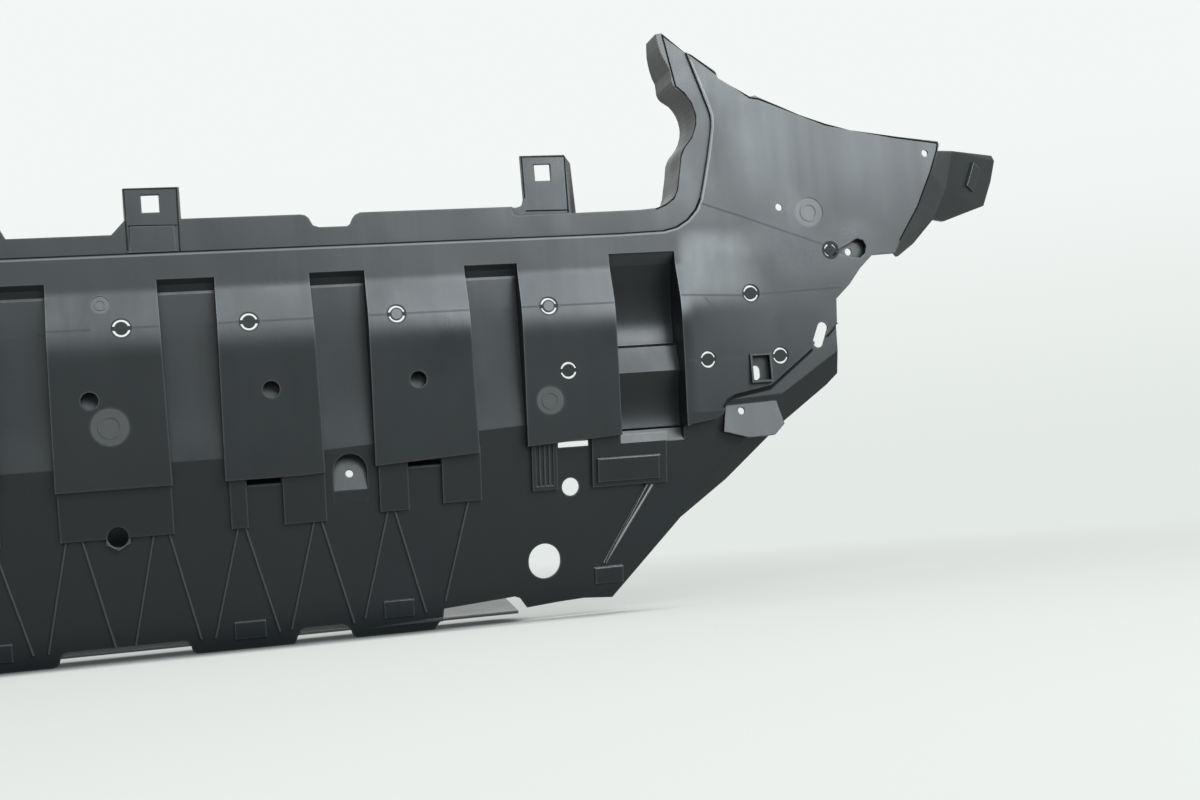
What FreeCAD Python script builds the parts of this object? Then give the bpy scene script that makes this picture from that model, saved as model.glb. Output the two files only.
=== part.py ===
import FreeCAD, Part
import math
import os

# Lower guard below a radiator: one thin moulded sheet.
# X runs along its length, Z is up, the outer face looks toward -Y.
# The sheet is the space between an outer block and the same block
# set back by the wall. The right half is drawn, then mirrored.

# Sheet
WALL = 2.5
BLOCK_BACK = 96.0
OVERLAP = 20.0

# Start of the wing. Its places along X are counted from here
WING_START = 489.5

# Front surface, as depth and height down the raised panels
BULGE_START_Z = 303.0
BULGE_TOP_Z = 273.0
BULGE_LOW_Z = 259.0
BULGE_TOP = -7.0
BULGE_LOW = -7.6
KNEE_Z = 216.0
KNEE_PANEL = -3.2
KNEE_WING = 3.0
BLEND_START = 2.5
BLEND_LENGTH = 62.0
FOOT_Z = 100.0
FOOT_PANEL = 12.6
FOOT_WING = 14.0

# Lower panel, which leans back below the bend
FLOOR_DEPTH = 12.0
BEND_Z = 160.0
LEAN_DEG = 14.0
RISE_START_X = 150.0
RISE = 0.0513
PANEL_FOOT_DROP = 19.0

# Recessed channels between the raised panels
CHANNEL_CENTRES = (67.0, 191.0, 323.0)
CHANNEL_TOP_Z = 310.0
CHANNEL_TOP_WIDTH = 46.4
CHANNEL_LOW_WIDTH = 42.6
RAMP_FALL = 16.0

# Border strip along the top and round the wing, set back
STRIP_DEPTH = 2.4
STRIP_FLOOR_Z = 318.0
STEP_Z = 332.0
TOP_Z = 360.0
LOW_TOP_Z = 352.0
LOW_TOP_X = 347.0
LOW_TOP_END = -27.5
DIP_DROP = 11.4
DIP_EDGE = ((215.0, 0.0), (210.2, 1.9), (207.6, 5.2), (205.4, 9.8),
            (202.9, DIP_DROP), (179.6, DIP_DROP), (174.4, 9.6),
            (171.3, 3.4), (168.4, 0.8), (164.4, 0.0))
NOTCH = (-71.0, 10.7)
NOTCH_TOP = (-77.0, 21.6)

# Deep pocket with two scoops
POCKET_WIDTH = 60.5
POCKET_TOP_Z = 314.5
POCKET_LOW_Z = 147.0
SCOOP_DEPTH = 25.0
SHELF_DEPTH = 14.0
SHELF_TOP_DEPTH = 19.0
SHELF_TOP_Z = 232.0
SHELF_LOW_Z = 211.0
LOW_SCOOP_DEPTH = 28.0
# Hollow curves, as a share of the depth and a drop in height
SCOOP_CURVE = ((0.52, 9.0), (0.84, 27.0), (1.0, 50.0))
LOW_SCOOP_CURVE = ((0.74, 10.0), (0.92, 22.0), (1.0, 36.0))

# Pads that carry the panels down onto the lower panel
PAD_HEIGHT = 4.0
PAD_DROP = 58.5
PAD_SPANS = ((91.0, 105.0), (134.5, 170.0), (215.2, 240.3))
GROOVED_PAD = (348.7, 371.6)
GROOVE_DEEP = 1.0
GROOVE_WIDTH = 2.6
GROOVE_PITCH = 4.2
GROOVES = 4
PAD_SPANS = PAD_SPANS + ((269.5, 303.6), GROOVED_PAD)
CENTRE_PAD_HALF = 45.0
BLIND_SLOTS = ((105.5, 133.5), (240.9, 269.0))
OPEN_SLOT = (373.3, 401.0)
SLOT_HEIGHT = 4.6
SLOT_CUP = 16.0
END_PAD = (403.0, 472.0)
END_BOX = (407.5, 464.0)
END_BOX_Z = (115.5, 136.0)
END_BOX_HEIGHT = 7.0

# Thin ribs in pairs on the lower panel
RIB_HEIGHT = 1.8
RIB_WIDTH = 1.7
RIB_PAIRS = (34.5, 99.4, 162.3, 224.8)
RIB_SINGLE = 295.0
RIB_TOP_GAP = 2.5
RIB_CENTRE_GAP = 5.9
RIB_SPREAD = 26.5
RIB_LOW_Z = 12.0

# Rib that tapers down from the outermost pad, its head and its foot
END_RIB_HEAD = (454.5, 463.0)
END_RIB_FOOT = (413.0, 414.6, 43.5)
END_RIB_HEIGHT = 2.8

# Raised marks near the lower edge
MARK_HEIGHT = 1.5
MARK_CENTRES = ((101.7, 16.0), (228.0, 21.5), (417.2, 33.3))
MARK_WIDTH = 26.0
MARK_TALL = 14.5

# Lip behind the teeth of the lower edge
LIP_HALF = 333.0
LIP_FRONT_Z = 7.0
LIP_REACH = 58.0
LIP_RISE_DEG = 10.0

# Wall that runs back from the wavy inner edge of the wing
EDGE_WALL_BACK = 50.0
EDGE_WALL_TIP = 28.0
EDGE_WALL_FOOT = 20.0
EDGE_WALL_KNEE = 34.0
EDGE_WALL_CUT = 16.0

# Side flange: its fold and its tip, X from the wing's start, Y and Z
FLANGE_FOLD = 25.0
FLANGE_TIP = 60.0
FLANGE_SKEW = 1.7
FLANGE_OUT = 355.9
FLANGE_ROOT = (212.7, 303.4)
FOLD_LINE = ((217.5, 5.0, 301.0), (239.5, 16.0, 314.0),
             (266.5, FLANGE_FOLD, 337.5), (282.5, FLANGE_FOLD, 365.0),
             (293.5, FLANGE_FOLD, 402.5))
TIP_LINE = ((282.5, 35.0, 337.0), (FLANGE_OUT - 16.4, FLANGE_TIP, 355.0),
            (FLANGE_OUT - 6.1, FLANGE_TIP, 379.0),
            (FLANGE_OUT, FLANGE_TIP, 399.0),
            (FLANGE_OUT - 2.4, FLANGE_TIP, 404.3))
FLANGE_MARK = ((312.6, 371.5), (323.4, 394.5),
               (332.1, 389.3), (322.0, 366.7))
FLANGE_MARK_HEIGHT = 2.0

# Clip tabs
WINDOW_WIDTH = 14.0
WINDOW_TALL = 14.5
TAB_Z = 386.6
TAB_LEFT = 22.1
TAB_RIGHT = 66.5
TAB_FRONT = 0.2
TAB_STEP = 1.1
TAB_FOLD_Z = 354.6
TAB_FOOT = (24.8, 61.8)
TAB_FRAME = 2.2
TAB_FOOT_Z = 332.8
TAB_WINDOW_Z = 373.1
TAB_WING_Z = 358.5
TAB_WING_BACK = 8.0
HIGH_TAB_LEFT = 357.6
HIGH_TAB_RIGHT = 398.9
HIGH_TAB_Z = 405.0
HIGH_TAB_WINDOW = (376.8, 389.6)
HIGH_TAB_SIDE = 13.0
HIGH_TAB_FLARE = 9.0
HIGH_TAB_FOOT_Z = 340.0
HIGH_TAB_FILLET = 6.5

# Knock-out discs: a disc held in its hole by small webs
KNOCK_RIM = 7.3
KNOCK_DISC = 5.4
KNOCK_WEB = 3.2
KNOCK_ROW_Z = 270.4
KNOCK_CENTRE_X = 13.9
KNOCK_ROW = (115.4, 237.8, 369.8)
KNOCK_LOW = (383.7, 214.0)
WING_KNOCKS = ((68.7, 273.3), (22.6, 216.0), (92.7, 215.9))
KNOCK_SMALL = (149.1, 308.9)
KNOCK_SMALL_SHARE = 0.85

# Plain holes
CLIP_HOLE_R = 7.0
CLIP_CUP_START = -1.5
CLIP_HOLE_BACK = (1.5, 12.0)
CUP_SIDES = 6
CENTRE_CLIP_HOLE = (-14.5, 213.3)
CLIP_HOLES = ((129.8, 213.7), (252.6, 214.4))
PAD_HOLE_R = 8.4
PAD_HOLE_Z = 102.5
PAD_CUP_START = 24.0
PAD_HOLE_BACK = (28.5, 23.0)
DRAIN_R = 7.8
DRAIN = (383.7, 114.0)
LARGE_DRAIN_R = 14.4
LARGE_DRAIN = (358.4, 50.9)
LARGE_DRAIN_STRETCH = 1.6
SCREW_R = 3.3
OUTER_SCREW = (252.5, 395.8)
INNER_SCREW = (103.1, 350.3)

# Slots in the wing
SLOT_R = 5.1
SLOT_LENGTH = 24.0
SLOT_CENTRE = (132.3, 232.3)
SLOT_LEAN_DEG = 22.0
# Its back part lies further out, where it meets the deeper floor
SLOT_FRONT_END = 9.0
SLOT_BACK_START = 5.0
SLOT_BACK_SHIFT = (4.1, 1.0)
STEPPED_RECESS = (64.5, 194.6, 81.1, 217.0)
STEPPED_RECESS_DEEP = 7.0
STEPPED_SLOT_R = 4.2
STEPPED_SLOT = (68.9, 202.0)
STEPPED_SLOT_LENGTH = 13.0
KEY_DEEP = 7.0
KEY_HOLE = (169.3, 307.6)

# Round marks left by the mould, shallow rings
RING_DEEP = 0.6
LOW_RING = (366.4, 189.4, 12.4)
WING_RING = (131.6, 344.7, 13.6)
CENTRE_RING = (0.1, 191.6, 15.6)
SMALL_RING = (-1.6, 290.8, 7.6)

# Arched seat for a screw in the second channel
ARCH_X = 191.5
ARCH_R = 14.2
ARCH_Z = 142.3
ARCH_LOW_Z = 115.0
ARCH_FACE_LOW_Z = 126.0
ARCH_TOP_DEPTH = 26.0
ARCH_LOW_DEPTH = 21.3
ARCH_FOOT_DEPTH = 23.6
ARCH_HOLE_Z = 140.3

# Light flat under the wing with its screw hole
LEDGE_TOP = 14.5
LEDGE_LOW = 9.5
LEDGE_TOP_Z = 186.0
LEDGE_LOW_Z = 144.0
LEDGE_HOLE = (54.0, 169.2)

# Chamfer that follows the oblique lower edge of the wing
CHAMFER_START = (87.5, 178.0)
CHAMFER_END = (150.5, 217.0)
CHAMFER_DEG = 35.0

# Edge lines, X and Z. Teeth of the lower edge, from the middle out
TOOTH_EDGE = (
    (-OVERLAP, 12.0), (47.5, 12.0), (51.5, 9.8), (53.6, 1.8), (58.3, 0.0),
    (138.0, 0.0), (141.0, 7.0), (143.8, 11.6), (148.0, 13.0),
    (179.0, 13.0), (185.0, 9.8), (187.8, 1.6), (191.0, 0.0),
    (258.0, 0.0), (263.0, 6.4), (266.0, 6.6), (267.2, 17.4),
    (331.0, 22.0), (335.6, 20.0), (341.6, 11.2), (370.0, 13.6),
    (393.5, 14.8), (419.8, 13.0))
# Edge lines of the wing, X counted from its start, and Z
OBLIQUE_EDGE = ((-4.0, 79.0), (41.3, 109.7), (95.5, 155.2))
WING_LOW_EDGE = (
    (143.7, 188.4), (154.8, 198.3), (151.9, 217.5), (152.6, 241.0),
    (149.4, 242.4), (150.6, 264.2), (164.9, 277.0),
    (176.3, 291.0), (189.4, 302.6), (212.7, 303.4))
WING_SIDE_EDGE = (
    (219.5, 315.8), (240.4, 345.8), (256.1, 376.8), (265.7, 397.7))
WING_TOP_EDGE = (
    (267.9, 403.0), (266.7, 406.6), (223.5, 412.4), (179.6, 419.3),
    (155.5, 426.0), (131.8, 434.4), (94.5, 451.2), (89.8, 453.5),
    (84.8, 452.6), (56.1, 470.0), (53.9, 476.6), (32.5, 492.0),
    (29.0, 493.4), (7.1, 512.6))
WAVY_EDGE = (
    (1.3, 511.7), (2.8, 500.5), (6.6, 489.6), (11.8, 478.5),
    (12.3, 468.0), (16.0, 461.8), (23.1, 456.9), (29.1, 448.0),
    (31.7, 437.7), (31.1, 428.0), (26.2, 416.6), (18.9, 408.4),
    (14.9, 400.6), (13.1, 390.0), (10.6, 379.0), (8.7, 370.0),
    (4.7, 363.0), (-3.3, 357.4), (-11.9, 354.2))
STEP_CURVE = (
    (15.1, 536.0), (29.3, 490.3), (38.0, 462.6), (43.2, 446.5),
    (45.9, 436.0), (45.5, 426.0), (41.4, 406.6), (35.0, 381.5),
    (29.2, 360.6), (24.3, 351.0), (15.5, 342.0), (4.7, 335.8),
    (-7.7, 333.0), (-49.5, STEP_Z))
GROOVE_EDGE = (
    (4.5, 160.2), (28.5, 163.6), (34.5, 167.6), (39.1, 178.0),
    (46.7, 184.0), (82.1, 190.1), (125.4, 222.3), (142.1, 234.6),
    (149.9, 241.7))
LEDGE_OUTLINE = (
    (35.2, 151.6), (58.5, 144.6), (83.1, 145.4), (93.3, 154.8),
    (84.0, 196.0), (42.5, 190.0))
KEY_OUTLINE = (
    (154.1, 306.4), (156.5, 305.6), (170.1, 301.4), (177.9, 300.8),
    (182.7, 304.6), (184.5, 311.4), (182.1, 316.8), (176.3, 318.6),
    (156.1, 309.2))

# Sizes that follow from the ones above
LEAN = math.tan(math.radians(LEAN_DEG))
LEAN_WALL = WALL / math.cos(math.radians(LEAN_DEG))
POCKET_RIGHT = WING_START
POCKET_LEFT = WING_START - POCKET_WIDTH
PANEL_END_X = WING_START + BLEND_START
BLEND_END_X = PANEL_END_X + BLEND_LENGTH
BLOCK_END = WING_START + FLANGE_OUT + OVERLAP
REGION_TOP = STEP_CURVE[0][1] + OVERLAP
BLOCK_TOP = REGION_TOP + OVERLAP
FRONT_REACH = -3 * OVERLAP

VEC = FreeCAD.Vector


def on_wing(points):
    """Places on the wing, moved out to where the wing starts."""
    return [(WING_START + x, z) for x, z in points]


def prism_xz(points, y0=FRONT_REACH, y1=BLOCK_BACK):
    """Solid over an outline drawn in X and Z, run along Y."""
    corners = [VEC(x, y0, z) for x, z in points]
    face = Part.Face(Part.makePolygon(corners + corners[:1]))
    return face.extrude(VEC(0, y1 - y0, 0))


def prism_yz(points, x0, x1, rise=0.0):
    """Solid over an outline drawn in Y and Z, run along X."""
    corners = [VEC(x0, y, z) for y, z in points]
    face = Part.Face(Part.makePolygon(corners + corners[:1]))
    return face.extrude(VEC(x1 - x0, 0, rise))


def bar(x, z, r, y0, y1):
    """Round bar along Y."""
    return Part.makeCylinder(r, y1 - y0, VEC(x, y0, z), VEC(0, 1, 0))


def joined(solids):
    """All solids fused into one."""
    first = solids[0]
    if len(solids) == 1:
        return first
    return first.fuse(solids[1:])


def grown(points, by):
    """Outline moved outward by a distance, inward when negative."""
    area = 0.0
    count = len(points)
    for i in range(count):
        ax, az = points[i]
        bx, bz = points[(i + 1) % count]
        area += ax * bz - bx * az
    side = 1.0 if area > 0 else -1.0
    lines = []
    for i in range(count):
        ax, az = points[i]
        bx, bz = points[(i + 1) % count]
        run = math.hypot(bx - ax, bz - az)
        nx = side * (bz - az) / run
        nz = -side * (bx - ax) / run
        lines.append((nx, nz, nx * ax + nz * az + by))
    moved = []
    for i in range(count):
        nx, nz, c = lines[i - 1]
        mx, mz, d = lines[i]
        det = nx * mz - nz * mx
        if abs(det) < 0.02:
            ax, az = points[i]
            moved.append((ax + mx * by, az + mz * by))
            continue
        moved.append(((c * mz - d * nz) / det, (nx * d - mx * c) / det))
    return moved


def smooth(points, parts=3):
    """Points of a smooth curve through the given points."""
    line = []
    last = len(points) - 1
    for i in range(last):
        p0 = points[max(i - 1, 0)]
        p1 = points[i]
        p2 = points[i + 1]
        p3 = points[min(i + 2, last)]
        for k in range(parts):
            t = k / parts
            spot = []
            for a, b, c, d in zip(p0, p1, p2, p3):
                flow = 2 * b + (c - a) * t
                flow += (2 * a - 5 * b + 4 * c - d) * t * t
                flow += (3 * b - a - 3 * c + d) * t * t * t
                spot.append(flow / 2)
            line.append(tuple(spot))
    line.append(tuple(points[last]))
    return line


def bend_height(x):
    """Height of the bend of the lower panel at a place along X."""
    return BEND_Z + RISE * max(0.0, x - RISE_START_X)


def lower_block(shift):
    """Everything behind the channel floors and the lower panel."""
    low = -2 * OVERLAP
    top = STRIP_FLOOR_Z
    fall = (BEND_Z - low) * LEAN
    floor = FLOOR_DEPTH + shift
    outline = [(floor, top), (floor, BEND_Z), (floor + fall, low),
               (BLOCK_BACK, low), (BLOCK_BACK, top)]
    run = BLOCK_END - RISE_START_X
    middle = prism_yz(outline, -OVERLAP, RISE_START_X)
    side = prism_yz(outline, RISE_START_X, BLOCK_END, run * RISE)
    return middle.fuse(side)


def chamfer_block(shift):
    """Everything behind the chamfer of the oblique edge."""
    (x0, z0), (x1, z1) = on_wing((CHAMFER_START, CHAMFER_END))
    reach = BLOCK_END
    run = math.hypot(x1 - x0, z1 - z0)
    along = VEC((x1 - x0) / run, 0, (z1 - z0) / run)
    away = VEC(along.z, 0, -along.x)
    slope = math.tan(math.radians(CHAMFER_DEG))
    start = VEC(x0, FLOOR_DEPTH + shift, z0) - along * reach
    near = start - away * reach - VEC(0, reach * slope, 0)
    far = start + away * reach + VEC(0, reach * slope, 0)
    far_back = far + VEC(0, reach, 0)
    near_back = VEC(near.x, far_back.y, near.z)
    corners = [near, far, far_back, near_back, near]
    face = Part.Face(Part.makePolygon(corners))
    return face.extrude(along * 2 * reach)


def front_outline(knee, foot, top, low, shift):
    """Section of the front block in Y and Z."""
    return [(shift, BLOCK_TOP), (shift, BULGE_START_Z),
            (top + shift, BULGE_TOP_Z), (low + shift, BULGE_LOW_Z),
            (knee + shift, KNEE_Z), (foot + shift, FOOT_Z),
            (BLOCK_BACK, FOOT_Z), (BLOCK_BACK, BLOCK_TOP)]


def front_block(shift):
    """Everything behind the raised panels and the wing face."""
    panel = front_outline(
        KNEE_PANEL, FOOT_PANEL, BULGE_TOP, BULGE_LOW, shift)
    wing = front_outline(
        KNEE_WING, FOOT_WING, 0.0, 0.6, shift)
    wires = []
    for x, outline in ((PANEL_END_X, panel), (BLEND_END_X, wing)):
        corners = [VEC(x, y, z) for y, z in outline]
        wires.append(Part.makePolygon(corners + corners[:1]))
    blend = Part.makeLoft(wires, True, True)
    straight = prism_yz(panel, -OVERLAP, PANEL_END_X)
    outer = prism_yz(wing, BLEND_END_X, BLOCK_END)
    return straight.fuse([blend, outer])


def front_region(parts):
    """Outline of the face inside the step of the border strip."""
    foot_mid = bend_height(0.0) - PANEL_FOOT_DROP
    foot_end = bend_height(POCKET_RIGHT) - PANEL_FOOT_DROP
    points = [(-OVERLAP, foot_mid), (RISE_START_X, foot_mid)]
    points.append((POCKET_RIGHT, foot_end))
    points += on_wing(GROOVE_EDGE)
    points.append((BLOCK_END - 5, points[-1][1]))
    points.append((BLOCK_END - 5, REGION_TOP))
    points.append((WING_START + OVERLAP / 2, REGION_TOP))
    points += smooth(on_wing(STEP_CURVE), parts)
    points.append((-OVERLAP, STEP_Z))
    return points


def channel_cutter(centre, grow):
    """Space taken out of the raised face by one channel."""
    slope = (CHANNEL_TOP_WIDTH - CHANNEL_LOW_WIDTH) / 2
    slope = slope / (CHANNEL_TOP_Z - BEND_Z)
    top = CHANNEL_TOP_Z + 20
    low = FOOT_Z + 5
    half_top = CHANNEL_TOP_WIDTH / 2 + 20 * slope
    half_low = half_top - (top - low) * slope
    plan = [(centre - half_low, low), (centre + half_low, low),
            (centre + half_top, top), (centre - half_top, top)]
    block = prism_xz(grown(plan, grow))
    ramp_low = CHANNEL_TOP_Z - RAMP_FALL
    section = [(FRONT_REACH, CHANNEL_TOP_Z), (0.0, CHANNEL_TOP_Z),
               (FLOOR_DEPTH * 0.45, CHANNEL_TOP_Z - RAMP_FALL * 0.26),
               (FLOOR_DEPTH * 0.82, CHANNEL_TOP_Z - RAMP_FALL * 0.60),
               (FLOOR_DEPTH, ramp_low), (BLOCK_BACK + 9, ramp_low),
               (BLOCK_BACK + 9, low - 9), (FRONT_REACH, low - 9)]
    under = prism_yz(grown(section, grow), centre - 60, centre + 60)
    return block.common(under)


def pocket_plan(grow):
    """Outline of the pocket in X and Z."""
    plan = [(POCKET_LEFT, POCKET_LOW_Z), (POCKET_RIGHT, POCKET_LOW_Z),
            (POCKET_RIGHT, POCKET_TOP_Z), (POCKET_LEFT, POCKET_TOP_Z)]
    return grown(plan, grow)


def pocket_floor(shift, grow):
    """Everything behind the two scoops of the pocket."""
    middle = (POCKET_LEFT + POCKET_RIGHT) / 2
    foot = FLOOR_DEPTH + (bend_height(middle) - POCKET_LOW_Z) * LEAN
    line = [(0.0, POCKET_TOP_Z)]
    for share, drop in SCOOP_CURVE:
        line.append((SCOOP_DEPTH * share, POCKET_TOP_Z - drop))
    line += [(SCOOP_DEPTH, SHELF_TOP_Z + 4),
             (SHELF_TOP_DEPTH + 1, SHELF_TOP_Z + 2),
             (SHELF_TOP_DEPTH, SHELF_TOP_Z - 1),
             (SHELF_DEPTH, SHELF_LOW_Z), (SHELF_DEPTH, SHELF_LOW_Z - 1.5)]
    for share, drop in LOW_SCOOP_CURVE:
        line.append((LOW_SCOOP_DEPTH * share, SHELF_LOW_Z - drop))
    line += [(LOW_SCOOP_DEPTH, POCKET_LOW_Z + 12),
             (foot, POCKET_LOW_Z + 1), (foot, POCKET_LOW_Z)]
    line = [(y + shift, z) for y, z in line]
    top = POCKET_TOP_Z + grow
    low = POCKET_LOW_Z - grow
    section = [(line[0][0], top)] + line + [(line[-1][0], low)]
    section += [(BLOCK_BACK, low), (BLOCK_BACK, top)]
    if grow == 0:
        section = line + [(BLOCK_BACK, low), (BLOCK_BACK, top)]
    return prism_yz(section, POCKET_LEFT - grow, POCKET_RIGHT + grow)


def arch_plan(grow):
    """Outline of the arched seat in X and Z."""
    points = [(ARCH_X - ARCH_R, ARCH_LOW_Z), (ARCH_X + ARCH_R, ARCH_LOW_Z)]
    for k in range(11):
        turn = math.pi * k / 10
        x = ARCH_X + ARCH_R * math.cos(turn)
        points.append((x, ARCH_Z + ARCH_R * math.sin(turn)))
    return grown(points, grow)


def arch_floor(shift, grow):
    """Everything behind the face of the arched seat."""
    top = ARCH_Z + ARCH_R + grow
    low = ARCH_LOW_Z - grow
    fall = (ARCH_TOP_DEPTH - ARCH_LOW_DEPTH)
    fall = fall / (ARCH_Z + ARCH_R - ARCH_FACE_LOW_Z)
    foot = ARCH_FOOT_DEPTH - ARCH_LOW_DEPTH
    foot = foot / (ARCH_FACE_LOW_Z - ARCH_LOW_Z)
    section = [(ARCH_TOP_DEPTH + grow * fall + shift, top),
               (ARCH_LOW_DEPTH + shift, ARCH_FACE_LOW_Z),
               (ARCH_FOOT_DEPTH + grow * foot + shift, low),
               (BLOCK_BACK, low), (BLOCK_BACK, top)]
    block = prism_yz(section, ARCH_X - 40, ARCH_X + 40)
    return block.common(prism_xz(arch_plan(grow)))


def pad_plans():
    """Outlines of the pads below the raised panels."""
    plans = []
    low = bend_height(0.0) - PAD_DROP
    top = bend_height(0.0) - PANEL_FOOT_DROP + 6
    half = CENTRE_PAD_HALF
    plans.append([(-OVERLAP, low), (half, low), (half, top),
                  (-OVERLAP, top)])
    for left, right in PAD_SPANS:
        middle = (left + right) / 2
        low = bend_height(middle) - PAD_DROP
        top = bend_height(middle) - PANEL_FOOT_DROP + 6
        plans.append([(left, low), (right, low), (right, top),
                      (left, top)])
    left, right = END_PAD
    low = END_BOX_Z[0] - 4
    top = bend_height(left) - PANEL_FOOT_DROP + 2
    plans.append([(left, low), (right, low), (right, top), (left, top)])
    return plans


def rib_plans():
    """Outlines of the thin ribs, one narrow strip each."""
    lines = []
    for centre in RIB_PAIRS:
        gap = RIB_TOP_GAP
        if centre == RIB_PAIRS[0]:
            gap = RIB_CENTRE_GAP
        top = bend_height(centre) - PAD_DROP + 2
        low = RIB_LOW_Z + (top - bend_height(0.0) + PAD_DROP - 2)
        for side in (-1, 1):
            lines.append((centre + side * gap, top,
                          centre + side * RIB_SPREAD, low))
    top = bend_height(RIB_SINGLE) - PAD_DROP + 2
    lines.append((RIB_SINGLE - RIB_TOP_GAP, top,
                  RIB_SINGLE - RIB_SPREAD, RIB_LOW_Z + 12))
    plans = []
    half = RIB_WIDTH / 2
    for x0, z0, x1, z1 in lines:
        plans.append([(x0 - half, z0), (x1 - half, z1),
                      (x1 + half, z1), (x0 + half, z0)])
    return plans


def raised_on_lower(plans, height):
    """Solid strips that stand proud of the lower panel."""
    blocks = [prism_xz(plan) for plan in plans]
    return joined(blocks).common(lower_block(-height))


def ledge_block(shift, grow):
    """Everything behind the light flat under the wing."""
    fall = (LEDGE_TOP - LEDGE_LOW) / (LEDGE_TOP_Z - LEDGE_LOW_Z)
    top = LEDGE_TOP_Z + 20
    low = LEDGE_LOW_Z - 20
    section = [(LEDGE_TOP + 20 * fall + shift, top),
               (LEDGE_LOW - 20 * fall + shift, low),
               (BLOCK_BACK, low), (BLOCK_BACK, top)]
    plan = grown(on_wing(LEDGE_OUTLINE), grow)
    start = min(x for x, z in plan) - OVERLAP
    end = max(x for x, z in plan) + OVERLAP
    return prism_yz(section, start, end).common(prism_xz(plan))


def strip_block(depth):
    """Everything behind the border strip."""
    plan = [(-OVERLAP, STRIP_FLOOR_Z), (BLOCK_END, STRIP_FLOOR_Z),
            (BLOCK_END, REGION_TOP), (-OVERLAP, REGION_TOP)]
    return prism_xz(plan, depth)


def pad_grooves():
    """Upright grooves in the face of the grooved pad."""
    left, right = GROOVED_PAD
    middle = (left + right) / 2
    low = bend_height(middle) - PAD_DROP + GROOVE_PITCH
    top = bend_height(middle) - PANEL_FOOT_DROP
    grooves = []
    for k in range(GROOVES):
        centre = middle + (k - (GROOVES - 1) / 2) * GROOVE_PITCH
        x0 = centre - GROOVE_WIDTH / 2
        x1 = centre + GROOVE_WIDTH / 2
        grooves.append([(x0, low), (x1, low), (x1, top), (x0, top)])
    space = joined([prism_xz(plan) for plan in grooves])
    return space.cut(lower_block(GROOVE_DEEP - PAD_HEIGHT))


def outer_block():
    """Block whose front is the outer face of the sheet."""
    face = front_block(0.0).common(prism_xz(front_region(2)))
    cutters = [channel_cutter(c, 0.0) for c in CHANNEL_CENTRES]
    face = face.cut(cutters)
    lower = lower_block(0.0).common(chamfer_block(0.0))
    strip = strip_block(STRIP_DEPTH)
    block = face.fuse([lower, strip])
    block = block.cut([prism_xz(pocket_plan(0.0)),
                       prism_xz(arch_plan(0.0))])
    pads = raised_on_lower(pad_plans(), PAD_HEIGHT)
    ribs = raised_on_lower(rib_plans(), RIB_HEIGHT)
    marks = raised_on_lower(mark_plans(), MARK_HEIGHT)
    pads = pads.cut(pad_grooves())
    return block.fuse([pocket_floor(0.0, 0.0), arch_floor(0.0, 0.0),
                       pads, ribs, marks, end_box(0.0), end_rib(),
                       ledge_block(0.0, 0.0)])


def inner_block():
    """The same block set back by the wall."""
    region = prism_xz(grown(front_region(1), -WALL))
    face = front_block(WALL).common(region)
    cutters = [channel_cutter(c, WALL) for c in CHANNEL_CENTRES]
    face = face.cut(cutters)
    slant = WALL / math.cos(math.radians(CHAMFER_DEG))
    lower = lower_block(LEAN_WALL).common(chamfer_block(slant))
    strip = strip_block(STRIP_DEPTH + WALL)
    block = face.fuse([lower, strip])
    block = block.cut([prism_xz(pocket_plan(WALL)),
                       prism_xz(arch_plan(WALL))])
    return block.fuse([pocket_floor(WALL, WALL), arch_floor(WALL, WALL),
                       end_box(WALL), ledge_block(WALL, -WALL)])


def mark_plans():
    """Outlines of the small raised marks."""
    plans = []
    for x, z in MARK_CENTRES:
        w = MARK_WIDTH / 2
        h = MARK_TALL / 2
        plans.append([(x - w, z - h), (x + w, z - h),
                      (x + w, z + h), (x - w, z + h)])
    return plans


def end_box(inset):
    """Raised box on the outermost pad."""
    left, right = END_BOX
    low, top = END_BOX_Z
    plan = [(left, low), (right, low), (right, top), (left, top)]
    plan = grown(plan, -inset)
    height = END_BOX_HEIGHT
    if inset > 0:
        height = END_BOX_HEIGHT - LEAN_WALL
    return raised_on_lower([plan], height)


def end_rib():
    """Tapering rib that runs down from the outermost pad."""
    top = END_BOX_Z[0] - 2
    left, right, low = END_RIB_FOOT
    plan = [(END_RIB_HEAD[0], top), (left, low), (right, low),
            (END_RIB_HEAD[1], top)]
    return raised_on_lower([plan], END_RIB_HEIGHT)


def silhouette():
    """Outline of the whole sheet, right half."""
    points = list(TOOTH_EDGE)
    points += on_wing(OBLIQUE_EDGE)
    points += on_wing(WING_LOW_EDGE)
    points += on_wing(WING_SIDE_EDGE)
    points += on_wing(WING_TOP_EDGE)
    points += smooth(on_wing(WAVY_EDGE), 2)
    edge = LOW_TOP_X
    points.append((WING_START + LOW_TOP_END, LOW_TOP_Z + 1))
    points += [(edge + 4, LOW_TOP_Z), (edge + 0.8, LOW_TOP_Z + 1.4)]
    points += [(edge, LOW_TOP_Z + 5), (edge, TOP_Z)]
    points += [(x, TOP_Z - drop) for x, drop in DIP_EDGE]
    points.append((-OVERLAP, TOP_Z))
    return points


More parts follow.
